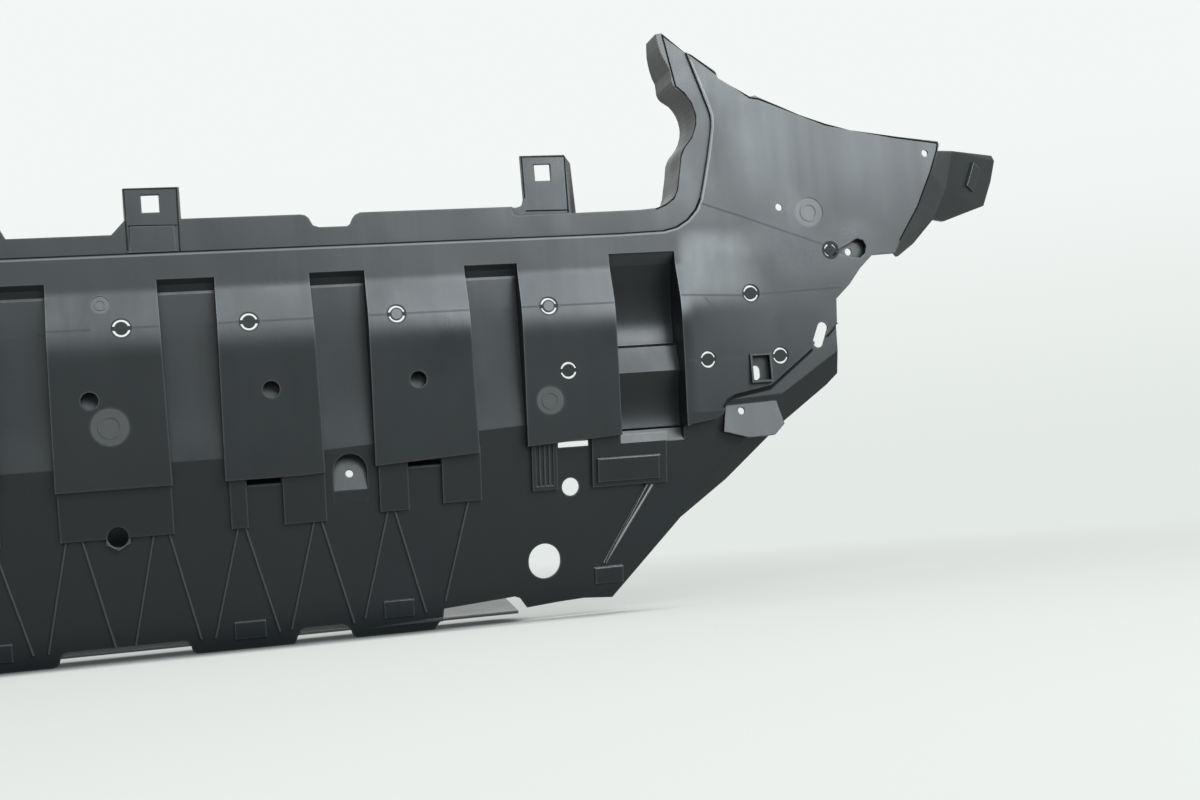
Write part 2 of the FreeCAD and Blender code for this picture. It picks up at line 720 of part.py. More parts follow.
def edge_wall():
    """Wall that runs back from the wavy edge of the wing."""
    rough = on_wing(WAVY_EDGE)
    band = []
    for i, (x, z) in enumerate(rough):
        ax, az = rough[max(i - 1, 0)]
        bx, bz = rough[min(i + 1, len(rough) - 1)]
        run = math.hypot(bx - ax, bz - az)
        band.append((x - WALL * (bz - az) / run,
                     z + WALL * (bx - ax) / run))
    outline = smooth(rough, 2) + band[::-1]
    wall = prism_xz(outline, STRIP_DEPTH, EDGE_WALL_BACK)
    tip_z = WAVY_EDGE[0][1] + 6
    knee_z = tip_z - EDGE_WALL_KNEE
    low_z = WAVY_EDGE[-1][1] + EDGE_WALL_CUT - 4
    foot_z = low_z - EDGE_WALL_CUT
    keep = [(FRONT_REACH, tip_z), (EDGE_WALL_TIP, tip_z),
            (EDGE_WALL_BACK, knee_z), (EDGE_WALL_BACK, low_z),
            (EDGE_WALL_FOOT, foot_z), (FRONT_REACH, foot_z)]
    start = WING_START - 3 * OVERLAP
    return wall.common(prism_yz(keep, start, WING_START + 4 * OVERLAP))


def flange_faces():
    """Corners of the three-sided faces that the side flange has."""
    edge = [VEC(x, 0, z) for x, z in on_wing(WING_SIDE_EDGE)]
    edge.insert(0, VEC(WING_START + FLANGE_ROOT[0], 0, FLANGE_ROOT[1]))
    fold = [VEC(WING_START + x, y, z) for x, y, z in FOLD_LINE]
    tip = [VEC(WING_START + x, y, z) for x, y, z in TIP_LINE]
    corners = []
    for i in range(len(fold) - 1):
        corners.append((edge[i], edge[i + 1], fold[i + 1]))
        corners.append((edge[i], fold[i + 1], fold[i]))
    corners.append((fold[2], fold[3], tip[1]))
    corners.append((fold[2], tip[1], tip[0]))
    corners.append((fold[3], tip[2], tip[1]))
    corners.append((fold[3], fold[4], tip[2]))
    corners.append((fold[4], tip[3], tip[2]))
    corners.append((fold[4], tip[4], tip[3]))
    return [Part.Face(Part.makePolygon([a, b, c, a]))
            for a, b, c in corners]


def side_flange():
    """Flange that leans back and out from the side of the wing."""
    faces = flange_faces()
    through = VEC(-FLANGE_SKEW, WALL - 0.2, 0)
    plate = joined([face.extrude(through) for face in faces])
    proud = VEC(0, -FLANGE_MARK_HEIGHT, 0)
    mark = joined([face.extrude(proud) for face in faces])
    mark = mark.common(prism_xz(on_wing(FLANGE_MARK)))
    return plate.fuse(mark)


def lip():
    """Plate behind the teeth, rising a little toward the back."""
    front = FLOOR_DEPTH + (BEND_Z - LIP_FRONT_Z) * LEAN + 0.6
    rise = LIP_REACH * math.tan(math.radians(LIP_RISE_DEG))
    back = front + LIP_REACH
    z = LIP_FRONT_Z
    section = [(front, z), (back, z + rise), (back, z + rise + WALL),
               (front, z + WALL)]
    return prism_yz(section, -OVERLAP, LIP_HALF)


def high_tab():
    """Clip tab that stands up behind the strip."""
    near = STRIP_DEPTH + WALL - 0.2
    far = near + WALL
    left = HIGH_TAB_LEFT
    right = HIGH_TAB_RIGHT
    z = HIGH_TAB_Z
    foot = HIGH_TAB_FOOT_Z
    r = HIGH_TAB_FILLET
    low = TOP_Z - 0.4
    plan = [(left - 3 * r, foot), (right + 2, foot),
            (right + 1, LOW_TOP_Z), (right, z - 2.0), (right - 1.5, z),
            (left, z), (left, low + r), (left - 0.2 * r, low + 0.4 * r),
            (left - 0.5 * r, low + 0.12 * r), (left - r, low),
            (left - 3 * r, low)]
    plate = prism_xz(plan, near, far)
    out = HIGH_TAB_FLARE
    back = near + HIGH_TAB_SIDE
    corners = [VEC(right - 1.2, near, foot), VEC(right + out, back, foot),
               VEC(right + out - 2, back, z - 5),
               VEC(right - 1.6, near, z)]
    face = Part.Face(Part.makePolygon(corners[:3] + corners[:1]))
    other = Part.Face(Part.makePolygon(
        [corners[0], corners[2], corners[3], corners[0]]))
    through = VEC(-WALL * 0.8, WALL * 0.8, 0)
    side = face.extrude(through).fuse(other.extrude(through))
    x, zw = HIGH_TAB_WINDOW
    return plate.fuse(side).cut(window(x, zw, near - 5, far + 5))


def window(x, z, y0, y1):
    """Square window of a clip tab."""
    w = WINDOW_WIDTH / 2
    h = WINDOW_TALL / 2
    plan = [(x - w, z - h), (x + w, z - h), (x + w, z + h), (x - w, z + h)]
    return prism_xz(plan, y0, y1)


def low_tab():
    """Clip tab that stands on the front of the strip."""
    fold = TAB_FOLD_Z
    left, right = TAB_LEFT, TAB_RIGHT
    low_left, low_right = TAB_FOOT
    plan = [(low_left - 0.6, TAB_FOOT_Z), (low_right, TAB_FOOT_Z),
            (low_right - 0.8, fold), (low_left + 0.9, fold)]
    near = TAB_FRONT
    upper = near + TAB_STEP
    solids = [prism_xz(plan, near, STRIP_DEPTH + 0.6)]
    plan = [(low_left - TAB_FRAME, TAB_FOOT_Z - 0.6),
            (low_right + TAB_FRAME, TAB_FOOT_Z - 0.6),
            (right - 0.6, fold), (right - 0.6, TAB_Z), (left, TAB_Z),
            (left + 0.6, fold)]
    solids.append(prism_xz(plan, upper, STRIP_DEPTH + 1.6))
    for x, out in ((left, -0.7), (right, 0.7)):
        turn = 1.0 if out < 0 else -1.0
        corners = [VEC(x + turn, upper, TAB_WING_Z),
                   VEC(x + turn * 0.8, upper, TAB_Z),
                   VEC(x + out, TAB_WING_BACK, TAB_Z + 1),
                   VEC(x + out, TAB_WING_BACK, TAB_WING_Z)]
        through = VEC(turn * 1.6, 0, 0)
        for ring in ((0, 1, 2), (0, 2, 3)):
            loop = [corners[k] for k in ring] + [corners[ring[0]]]
            face = Part.Face(Part.makePolygon(loop))
            solids.append(face.extrude(through))
    middle = (left + right) / 2 - 1.2
    hole = window(middle, TAB_WINDOW_Z, -5, 15)
    return joined(solids).cut(hole)


def knock_out(x, z, scale=1.0, cross=False):
    """Gaps round one knock-out disc."""
    y0 = -OVERLAP
    y1 = OVERLAP
    rim = bar(x, z, KNOCK_RIM * scale, y0, y1)
    disc = bar(x, z, KNOCK_DISC * scale, y0, y1)
    gap = rim.cut(disc)
    half = KNOCK_WEB / 2
    far = KNOCK_RIM + 2
    web = prism_xz([(x - far, z - half), (x + far, z - half),
                    (x + far, z + half), (x - far, z + half)], y0, y1)
    gap = gap.cut(web)
    if cross:
        web = prism_xz([(x - half, z - far), (x + half, z - far),
                        (x + half, z + far), (x - half, z + far)], y0, y1)
        gap = gap.cut(web)
    return gap


def obround(x, z, r, length, lean_deg, y0, y1):
    """Long hole with round ends."""
    reach = length / 2 - r
    turn = math.radians(lean_deg)
    dx = math.sin(turn)
    dz = math.cos(turn)
    points = [(x + dz * r - dx * reach, z - dx * r - dz * reach),
              (x + dz * r + dx * reach, z - dx * r + dz * reach),
              (x - dz * r + dx * reach, z + dx * r + dz * reach),
              (x - dz * r - dx * reach, z + dx * r - dz * reach)]
    body = prism_xz(points, y0, y1)
    ends = [bar(x + dx * reach, z + dz * reach, r, y0, y1),
            bar(x - dx * reach, z - dz * reach, r, y0, y1)]
    return body.fuse(ends)


def half_holes():
    """Holes of the right half."""
    places = [(x, KNOCK_ROW_Z) for x in KNOCK_ROW]
    places += [KNOCK_LOW] + on_wing(WING_KNOCKS)
    holes = [knock_out(x, z) for x, z in places]
    for x, z in on_wing([KNOCK_SMALL]):
        holes.append(knock_out(x, z, KNOCK_SMALL_SHARE, True))
    for x, z in on_wing((OUTER_SCREW, INNER_SCREW)):
        holes.append(bar(x, z, SCREW_R, -OVERLAP, OVERLAP))
    x, z = DRAIN
    holes.append(bar(x, z, DRAIN_R, 0, BLOCK_BACK))
    x, z = LARGE_DRAIN
    holes.append(obround(x, z, LARGE_DRAIN_R,
                         2 * LARGE_DRAIN_R + LARGE_DRAIN_STRETCH, 0,
                         FLOOR_DEPTH, BLOCK_BACK))
    for x, z in on_wing([SLOT_CENTRE]):
        holes.append(obround(x, z, SLOT_R, SLOT_LENGTH, SLOT_LEAN_DEG,
                             -OVERLAP, SLOT_FRONT_END))
        x += SLOT_BACK_SHIFT[0]
        z += SLOT_BACK_SHIFT[1]
        holes.append(obround(x, z, SLOT_R, SLOT_LENGTH, SLOT_LEAN_DEG,
                             SLOT_BACK_START, 2 * OVERLAP))
    holes.append(prism_xz(slot_plan(*OPEN_SLOT), FLOOR_DEPTH,
                          FLOOR_DEPTH + SLOT_CUP))
    lean = VEC(0, 1, (ARCH_LOW_DEPTH - ARCH_TOP_DEPTH)
               / (ARCH_Z + ARCH_R - ARCH_FACE_LOW_Z))
    spot = VEC(ARCH_X, FLOOR_DEPTH + 11, ARCH_HOLE_Z)
    start = spot - lean * OVERLAP
    holes.append(Part.makeCylinder(SCREW_R, 2 * OVERLAP, start, lean))
    lean = VEC(0, 1, (LEDGE_LOW - LEDGE_TOP) / (LEDGE_TOP_Z - LEDGE_LOW_Z))
    for x, z in on_wing([LEDGE_HOLE]):
        start = VEC(x, LEDGE_TOP - 2, z) - lean * OVERLAP / 2
        holes.append(Part.makeCylinder(SCREW_R, OVERLAP, start, lean))
    return holes


def slot_plan(left, right):
    """Outline of one slot at the foot of the raised panels."""
    top = bend_height((left + right) / 2) - PANEL_FOOT_DROP
    low = top - SLOT_HEIGHT
    return [(left, low), (right, low), (right, top), (left, top)]


def blind_slots():
    """Slots with a closed back, each as cup and cutter."""
    back = FLOOR_DEPTH + SLOT_CUP
    cups = []
    cutters = []
    for left, right in BLIND_SLOTS:
        plan = slot_plan(left, right)
        low = plan[0][1]
        top = plan[2][1]
        cups.append(prism_xz(grown(plan, WALL * 0.7),
                             FLOOR_DEPTH + WALL * 2.4, back))
        section = [(FLOOR_DEPTH, low), (FLOOR_DEPTH + WALL * 2.2, low),
                   (back - WALL * 0.8, top), (FLOOR_DEPTH, top)]
        cutters.append(prism_yz(section, left, right))
    return cups, cutters


def blind_hole(x, z, r, start, back):
    """Cup and cutter of a round hole with a closed, leaning back."""
    low_deep, top_deep = back
    corners = []
    for k in range(CUP_SIDES):
        turn = 2 * math.pi * (k + 0.5) / CUP_SIDES
        far = (r + WALL * 0.5) / math.cos(math.pi / CUP_SIDES)
        corners.append((x + far * math.cos(turn), z + far * math.sin(turn)))
    deep = max(back)
    cup = prism_xz(corners, start, deep + WALL * 0.5)
    section = [(-OVERLAP, z - r), (low_deep, z - r), (top_deep, z + r),
               (-OVERLAP, z + r)]
    space = prism_yz(section, x - 2 * r, x + 2 * r)
    return cup, bar(x, z, r, -OVERLAP, deep + OVERLAP).common(space)


def wing_recesses():
    """Two small recesses of the wing, each as cutter and cup."""
    x0, z0, x1, z1 = STEPPED_RECESS
    box = on_wing(((x0, z0), (x1, z0), (x1, z1), (x0, z1)))
    plans = ((box, STEPPED_RECESS_DEEP), (on_wing(KEY_OUTLINE), KEY_DEEP))
    cups = []
    cutters = []
    for plan, deep in plans:
        cup = prism_xz(grown(plan, WALL * 0.7), 0.4, deep + WALL * 0.8)
        cups.append(cup)
        cutters.append(prism_xz(plan, -5.0, deep))
    for x, z in on_wing([STEPPED_SLOT]):
        cutters.append(obround(x, z, STEPPED_SLOT_R, STEPPED_SLOT_LENGTH,
                               0, -OVERLAP, OVERLAP))
    for x, z in on_wing([KEY_HOLE]):
        cutters.append(bar(x, z, SCREW_R, -OVERLAP, OVERLAP))
    return cups, cutters


def shallow_ring(x, z, r, depth):
    """Shallow round mark with a raised ring inside it."""
    near = depth - OVERLAP
    mark = bar(x, z, r, near, depth + RING_DEEP)
    ring = bar(x, z, r * 0.62, near, depth + RING_DEEP * 2)
    ring = ring.cut(bar(x, z, r * 0.48, near, depth + RING_DEEP * 2))
    return mark.cut(ring)


def panel_depth(z):
    """Depth of the raised panels at a height below the knee."""
    step = (FOOT_PANEL - KNEE_PANEL) / (KNEE_Z - FOOT_Z)
    if z < KNEE_Z:
        return KNEE_PANEL + (KNEE_Z - z) * step
    return BULGE_TOP * (BULGE_START_Z - z) / (BULGE_START_Z - BULGE_TOP_Z)


def ring_mark(x, z, r, slope, depth):
    """Round mark cut square to a leaning face."""
    mark = shallow_ring(x, 0.0, r, 0.0)
    turn = math.degrees(math.atan(slope))
    mark.rotate(VEC(x, 0, 0), VEC(1, 0, 0), turn)
    mark.translate(VEC(0, depth, z))
    return mark


def half_marks():
    """Round marks of the right half."""
    step = (FOOT_PANEL - KNEE_PANEL) / (KNEE_Z - FOOT_Z)
    x, z, r = LOW_RING
    low = ring_mark(x, z, r, step, panel_depth(z))
    x, z, r = WING_RING
    high = ring_mark(WING_START + x, z, r, 0.0, 0.0)
    return [low, high]


def right_half():
    """Right half of the sheet, cut at the middle."""
    sheet = outer_block().cut(inner_block())
    sheet = sheet.common(prism_xz(silhouette()))
    cups, cutters = wing_recesses()
    more_cups, more_cutters = blind_slots()
    cups += more_cups
    cutters += more_cutters
    for x, z in CLIP_HOLES:
        cup, cutter = blind_hole(x, z, CLIP_HOLE_R, CLIP_CUP_START,
                                 CLIP_HOLE_BACK)
        cups.append(cup)
        cutters.append(cutter)
    sheet = sheet.fuse([edge_wall(), side_flange(), lip(), high_tab()])
    sheet = sheet.fuse(cups)
    sheet = sheet.cut(cutters + half_holes() + half_marks())
    keep = [(0.0, -OVERLAP), (BLOCK_END, -OVERLAP),
            (BLOCK_END, BLOCK_TOP), (0.0, BLOCK_TOP)]
    return sheet.common(prism_xz(keep, FRONT_REACH, 2 * BLOCK_BACK))


def middle_holes():
    """Blind holes of the middle panel, each as cup and cutter."""
    x, z = CENTRE_CLIP_HOLE
    pairs = [blind_hole(x, z, CLIP_HOLE_R, CLIP_CUP_START,
                        CLIP_HOLE_BACK)]
    pairs.append(blind_hole(0.0, PAD_HOLE_Z, PAD_HOLE_R, PAD_CUP_START,
                            PAD_HOLE_BACK))
    return [pair[0] for pair in pairs], [pair[1] for pair in pairs]


def middle_cutters():
    """Cuts of the middle panel, which is not the same on both sides."""
    cuts = [knock_out(KNOCK_CENTRE_X, KNOCK_ROW_Z)]
    step = (FOOT_PANEL - KNEE_PANEL) / (KNEE_Z - FOOT_Z)
    x, z, r = CENTRE_RING
    cuts.append(ring_mark(x, z, r, step, panel_depth(z)))
    x, z, r = SMALL_RING
    slope = BULGE_TOP / (BULGE_START_Z - BULGE_TOP_Z)
    cuts.append(ring_mark(x, z, r, slope, panel_depth(z)))
    low = TOP_Z - DIP_DROP
    top = TOP_Z + OVERLAP
    left, right = NOTCH_TOP
    notch = [(NOTCH[0], low), (NOTCH[1], low), (right, TOP_Z),
             (right, top), (left, top), (left, TOP_Z)]
    cuts.append(prism_xz(notch))
    return cuts


def guard():
    """The whole guard."""
    right = right_half()
    left = right.mirror(VEC(0, 0, 0), VEC(1, 0, 0))
    whole = right.fuse(left).removeSplitter()
    cups, cutters = middle_holes()
    whole = whole.fuse(cups)
    whole = whole.cut(middle_cutters() + cutters)
    whole = whole.fuse(low_tab()).removeSplitter()
    box = whole.BoundBox
    middle = (box.YMin + box.YMax) / 2
    whole.translate(VEC(0, -middle, -box.ZMin))
    print("face at y", -middle, "pieces", len(whole.Solids))
    return whole


os.makedirs("parts", exist_ok=True)
guard().exportStep("parts/guard_panel.step")
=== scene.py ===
import logging
from dataclasses import dataclass
from enum import Enum

import bpy
import numpy as np
from mathutils import Matrix, Vector


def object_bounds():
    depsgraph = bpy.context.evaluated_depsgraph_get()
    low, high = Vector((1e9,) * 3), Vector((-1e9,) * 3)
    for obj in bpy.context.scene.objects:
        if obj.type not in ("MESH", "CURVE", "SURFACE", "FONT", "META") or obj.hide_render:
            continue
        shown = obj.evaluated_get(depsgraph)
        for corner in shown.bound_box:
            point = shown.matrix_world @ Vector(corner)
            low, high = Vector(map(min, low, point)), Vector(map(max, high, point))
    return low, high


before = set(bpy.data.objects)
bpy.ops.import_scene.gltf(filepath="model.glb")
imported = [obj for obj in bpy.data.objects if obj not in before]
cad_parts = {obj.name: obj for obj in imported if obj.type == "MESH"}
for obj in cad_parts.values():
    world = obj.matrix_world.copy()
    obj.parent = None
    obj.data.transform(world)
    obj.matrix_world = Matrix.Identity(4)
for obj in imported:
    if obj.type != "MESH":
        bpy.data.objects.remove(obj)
CAD_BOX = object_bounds()

GUARD_NODE = "guard_panel"

log = logging.getLogger("radiator_guard")

Colour = tuple[float, float, float]
Point = tuple[float, float, float]
Range = tuple[float, float]
Line = tuple[tuple[float, float], ...]
Disc = tuple[float, float, float]
Socket = bpy.types.NodeSocket
Term = bpy.types.NodeSocket | float

NUMBER = "NodeSocketFloat"
VECTOR = "NodeSocketVector"
OPAQUE = 1.0
NOISE_MIDDLE = 0.5


# Node trees

class Op(Enum):
    """Operations of a Math node."""

    ABSOLUTE = "ABSOLUTE"
    ADD = "ADD"
    COMPARE = "COMPARE"
    MAXIMUM = "MAXIMUM"
    MINIMUM = "MINIMUM"
    MULTIPLY = "MULTIPLY"
    MULTIPLY_ADD = "MULTIPLY_ADD"
    SUBTRACT = "SUBTRACT"


class VectorOp(Enum):
    """Operations of a Vector Math node."""

    DISTANCE = "DISTANCE"
    DOT_PRODUCT = "DOT_PRODUCT"
    LENGTH = "LENGTH"
    NORMALIZE = "NORMALIZE"
    SCALE = "SCALE"
    SUBTRACT = "SUBTRACT"


class Mix(Enum):
    """What a Mix node blends: its type, and which sockets it then uses.

    The numbers are those of the two inputs and of the output, which
    share their labels with the sockets of the other types.
    """

    COLOURS = ("RGBA", 6, 7, 2)
    NORMALS = ("VECTOR", 4, 5, 1)


NUMBER_OPS = (VectorOp.DISTANCE, VectorOp.DOT_PRODUCT, VectorOp.LENGTH)


class Tree:
    """A node tree with short calls for the nodes that the finishes use."""

    def __init__(self, tree: bpy.types.NodeTree) -> None:
        """Keeps the tree.

        Args:
            tree: The material's, world's or group's node tree.
        """
        self.tree = tree

    def add(self, kind: str, **values: object) -> bpy.types.Node:
        """Adds a node.

        Args:
            kind: The node's type name.
            values: Settings of the node, by attribute name.

        Returns:
            The new node.
        """
        node = self.tree.nodes.new(kind)
        for name, value in values.items():
            setattr(node, name, value)
        return node

    def join(self, out: object, into: Socket) -> None:
        """Links an output to an input, or sets the input to a value.

        Args:
            out: An output socket, a number, a vector or a colour.
            into: The input socket.
        """
        if isinstance(out, Socket):
            self.tree.links.new(out, into)
        else:
            into.default_value = out

    def group(self, inner: bpy.types.NodeTree,
              **values: float) -> bpy.types.Node:
        """Places a node group with its own values.

        Args:
            inner: The group.
            values: Value of each input, by its name.

        Returns:
            The group's node.
        """
        node = self.add("ShaderNodeGroup", node_tree=inner)
        for name, number in values.items():
            node.inputs[name].default_value = number
        return node

    def mix(self, kind: Mix, share: Term, first: object,
            second: object) -> Socket:
        """Mixes two colours or two normals.

        Args:
            kind: Which of them is mixed.
            share: How much of the second is used.
            first: A socket, a colour with its alpha, or a vector.
            second: The same for the second.

        Returns:
            The mixed colour or normal.
        """
        data_type, before, after, result = kind.value
        node = self.add("ShaderNodeMix", data_type=data_type)
        self.join(share, node.inputs["Factor"])
        self.join(first, node.inputs[before])
        self.join(second, node.inputs[after])
        return node.outputs[result]

    def blend(self, share: Term, first: object, second: object) -> Socket:
        """Mixes two colours.

        Args:
            share: How much of the second is used.
            first: A colour or a socket.
            second: A colour or a socket.

        Returns:
            The mixed colour.
        """
        first, second = (
            (*colour, OPAQUE) if isinstance(colour, tuple) else colour
            for colour in (first, second))
        return self.mix(Mix.COLOURS, share, first, second)

    def math(self, op: Op, *terms: Term, clamp: bool = False) -> Socket:
        """Adds a Math node.

        Args:
            op: The operation.
            terms: One to three sockets or numbers.
            clamp: Keeps the result between 0 and 1.

        Returns:
            The node's output.
        """
        node = self.add("ShaderNodeMath", operation=op.value,
                        use_clamp=clamp)
        for term, socket in zip(terms, node.inputs):
            self.join(term, socket)
        return node.outputs[0]

    def chain(self, op: Op, terms: list[Socket]) -> Socket:
        """Runs a Math node along a list, from its first term to its last.

        Args:
            op: An operation on two terms.
            terms: The sockets.

        Returns:
            The last node's output.
        """
        result = terms[0]
        for term in terms[1:]:
            result = self.math(op, result, term)
        return result

    def fade(self, share: Term, first: Term, second: Term) -> Socket:
        """Goes from one number to another, by first + share x the rest.

        Args:
            share: How much of the second is used.
            first: The number at share 0.
            second: The number at share 1.

        Returns:
            The number between them.
        """
        rest = self.math(Op.SUBTRACT, second, first)
        return self.math(Op.MULTIPLY_ADD, share, rest, first)

    def between(self, value: Term, low: float, high: float) -> Socket:
        """Tells whether a value lies in a range.

        Args:
            value: The socket to test.
            low: Start of the range.
            high: End of the range.

        Returns:
            1 inside the range and 0 outside it.
        """
        middle = (low + high) / 2
        return self.math(Op.COMPARE, value, middle, (high - low) / 2)

    def vector(self, op: VectorOp, *terms: object) -> Socket:
        """Adds a Vector Math node.

        Args:
            op: The operation.
            terms: Sockets or vectors, and for a scale its factor.

        Returns:
            The node's vector, or its number where the operation gives one.
        """
        node = self.add("ShaderNodeVectorMath", operation=op.value)
        sockets = node.inputs
        if op is VectorOp.SCALE:
            sockets = (node.inputs[0], node.inputs["Scale"])
        for term, socket in zip(terms, sockets):
            self.join(term, socket)
        return node.outputs["Value" if op in NUMBER_OPS else "Vector"]

    def parts(self, vector: Socket) -> list[Socket]:
        """Splits a vector.

        Args:
            vector: The socket to split.

        Returns:
            Its X, Y and Z.
        """
        node = self.add("ShaderNodeSeparateXYZ")
        self.join(vector, node.inputs[0])
        return list(node.outputs)

    def whole(self, x: Term, y: Term, z: Term) -> Socket:
        """Makes a vector of three numbers.

        Args:
            x: The X.
            y: The Y.
            z: The Z.

        Returns:
            The vector.
        """
        node = self.add("ShaderNodeCombineXYZ")
        for term, socket in zip((x, y, z), node.inputs):
            self.join(term, socket)
        return node.outputs["Vector"]

    def place(self) -> Socket:
        """Returns the Object coordinates."""
        return self.add("ShaderNodeTexCoord").outputs["Object"]

    def face_normal(self) -> list[Socket]:
        """Returns X, Y and Z of the flat face's normal."""
        geometry = self.add("ShaderNodeNewGeometry")
        return self.parts(geometry.outputs["True Normal"])

    def gap_to(self, spot: Socket, start: tuple[float, float],
               end: tuple[float, float]) -> Socket:
        """Distance from a place to a straight piece of a line.

        Args:
            spot: The place, as a vector without its Y.
            start: X and Z of the piece's start.
            end: X and Z of its end.

        Returns:
            The distance.
        """
        run = Vector((end[0] - start[0], 0.0, end[1] - start[1]))
        from_start = self.vector(VectorOp.SUBTRACT, spot,
                                 (start[0], 0.0, start[1]))
        along = self.vector(VectorOp.DOT_PRODUCT, from_start,
                            run / run.length_squared)
        share = self.math(Op.ADD, along, 0.0, clamp=True)
        foot = self.vector(VectorOp.SCALE, run, share)
        return self.vector(VectorOp.DISTANCE, from_start, foot)

    def bump(self, height: Socket, strength: float,
             distance: float) -> bpy.types.Node:
        """Adds a Bump node.

        Args:
            height: The height.
            strength: Share of the bump that shows.
            distance: What a height of 1 stands for, in metres.

        Returns:
            The node.
        """
        node = self.add("ShaderNodeBump")
        self.join(height, node.inputs["Height"])
        node.inputs["Strength"].default_value = strength
        node.inputs["Distance"].default_value = distance
        return node

    def mix_shaders(self, share: Term, first: Socket,
                    second: Socket) -> Socket:
        """Mixes two shaders.

        Args:
            share: How much of the second is used.
            first: The first shader.
            second: The second shader.

        Returns:
            The mixed shader.
        """
        node = self.add("ShaderNodeMixShader")
        for term, socket in zip((share, first, second), node.inputs):
            self.join(term, socket)
        return node.outputs["Shader"]


def new_group(name: str, inputs: dict[str, float],
              outputs: dict[str, str]) -> tuple[bpy.types.NodeTree, Tree]:
    """Makes an empty shader node group with named sockets.

    Args:
        name: The group's name.
        inputs: Name and starting value of each number that goes in.
        outputs: Name and socket type of each thing that comes out.

    Returns:
        The group, and a Tree on it.
    """
    group = bpy.data.node_groups.new(name, "ShaderNodeTree")
    for label, value in inputs.items():
        socket = group.interface.new_socket(
            label, in_out="INPUT", socket_type=NUMBER)
        socket.default_value = value
    for label, kind in outputs.items():
        group.interface.new_socket(label, in_out="OUTPUT", socket_type=kind)
    return group, Tree(group)


def new_material(name: str) -> tuple[bpy.types.Material, Tree]:
    """Makes a material without nodes.

    Args:
        name: The material's name.

    Returns:
        The material, and a Tree on its nodes.
    """
    material = bpy.data.materials.new(name)
    material.use_nodes = True
    material.node_tree.nodes.clear()
    return material, Tree(material.node_tree)


@dataclass(frozen=True)
class Bend:
    """A smooth step, from one number at its start to another at its end."""

    start: float
    end: float
    before: float = 0.0
    after: float = 1.0

    def on(self, tree: Tree, value: Term) -> Socket:
        """Steps a value.

        Args:
            tree: The tree that gets the node.
            value: The value that is read.

        Returns:
            The stepped value.
        """
        node = tree.add("ShaderNodeMapRange",
                        interpolation_type="SMOOTHSTEP")
        for name, term in (("Value", value), ("From Min", self.start),
                           ("From Max", self.end), ("To Min", self.before),
                           ("To Max", self.after)):
            tree.join(term, node.inputs[name])
        return node.outputs["Result"]


@dataclass(frozen=True)
class Noise:
    """A noise pattern, which a pull under 1 draws out along Z."""

    scale: float
    detail: float
    rough: float = 0.5
    pull: float = 1.0

    def on(self, tree: Tree, place: Socket) -> Socket:
        """Adds the pattern.

        Args:
            tree: The tree that gets the nodes.
            place: The coordinates that it reads, in metres.

        Returns:
            Its value from 0 to 1.
        """
        stretch = tree.add("ShaderNodeMapping")
        tree.join(place, stretch.inputs["Vector"])
        stretch.inputs["Scale"].default_value = (1.0, 1.0, self.pull)
        node = tree.add("ShaderNodeTexNoise")
        for name, term in (("Vector", stretch.outputs["Vector"]),
                           ("Scale", self.scale), ("Detail", self.detail),
                           ("Roughness", self.rough)):
            tree.join(term, node.inputs[name])
        return node.outputs["Fac"]


# Effects of the finishes, each a node group

@dataclass(frozen=True)
class FlowMarks:
    """Streaks left where the plastic ran down the mould, and soft smudges.

    The streaks are noise drawn out along Z, so they stand upright.
    The smudges are broad noise, stronger in a few patches.
    """

    wide: Noise = Noise(16.0, 4.0, 0.62, 0.12)
    fine: Noise = Noise(90.0, 3.0, pull=0.05)
    patch: Noise = Noise(7.0, 5.0, 0.6)
    pits: Noise = Noise(2600.0, 2.0)
    cloud: Noise = Noise(9.0, 2.0, pull=0.7)
    wide_share: float = 1.6
    patch_edge: Bend = Bend(0.46, 0.74)
    shade_middle: float = 0.4
    shade_streak: float = 0.5
    shade_smudge: float = 0.45
    gloss_streak: float = 0.5
    gloss_smudge: float = 0.35

    def build(self) -> bpy.types.NodeTree:
        """Makes the group.

        Returns:
            A group with a shade from 0 to 1, a gloss change and a height.
        """
        group, tree = new_group(
            "flow_marks", {"Streaks": 1.0, "Smudges": 1.0, "Grain": 0.01,
                           "Waves": 0.25, "Clouds": 1.2},
            {"Shade": NUMBER, "Gloss": NUMBER, "Height": NUMBER})
        given = tree.add("NodeGroupInput").outputs
        made = tree.add("NodeGroupOutput").inputs
        place = tree.place()
        wide = tree.math(Op.SUBTRACT, self.wide.on(tree, place),
                         NOISE_MIDDLE)
        fine = tree.math(Op.SUBTRACT, self.fine.on(tree, place),
                         NOISE_MIDDLE)
        streak = tree.math(Op.MULTIPLY_ADD, wide, self.wide_share, fine)
        streak = tree.math(Op.MULTIPLY, streak, given["Streaks"])
        smudge = self.patch_edge.on(tree, self.patch.on(tree, place))
        smudge = tree.math(Op.MULTIPLY, smudge, given["Smudges"])
        stain = tree.math(Op.MULTIPLY_ADD, smudge, self.shade_smudge,
                          self.shade_middle)
        tree.join(tree.math(Op.MULTIPLY_ADD, streak, self.shade_streak,
                            stain, clamp=True), made["Shade"])
        smear = tree.math(Op.MULTIPLY, smudge, self.gloss_smudge)
        tree.join(tree.math(Op.MULTIPLY_ADD, streak, self.gloss_streak,
                            smear), made["Gloss"])
        pits = tree.math(Op.MULTIPLY, self.pits.on(tree, place),
                         given["Grain"])
        flow = tree.math(Op.MULTIPLY_ADD, streak, given["Waves"], pits)
        tree.join(tree.math(Op.MULTIPLY_ADD, self.cloud.on(tree, place),
                            given["Clouds"], flow), made["Height"])
        return group


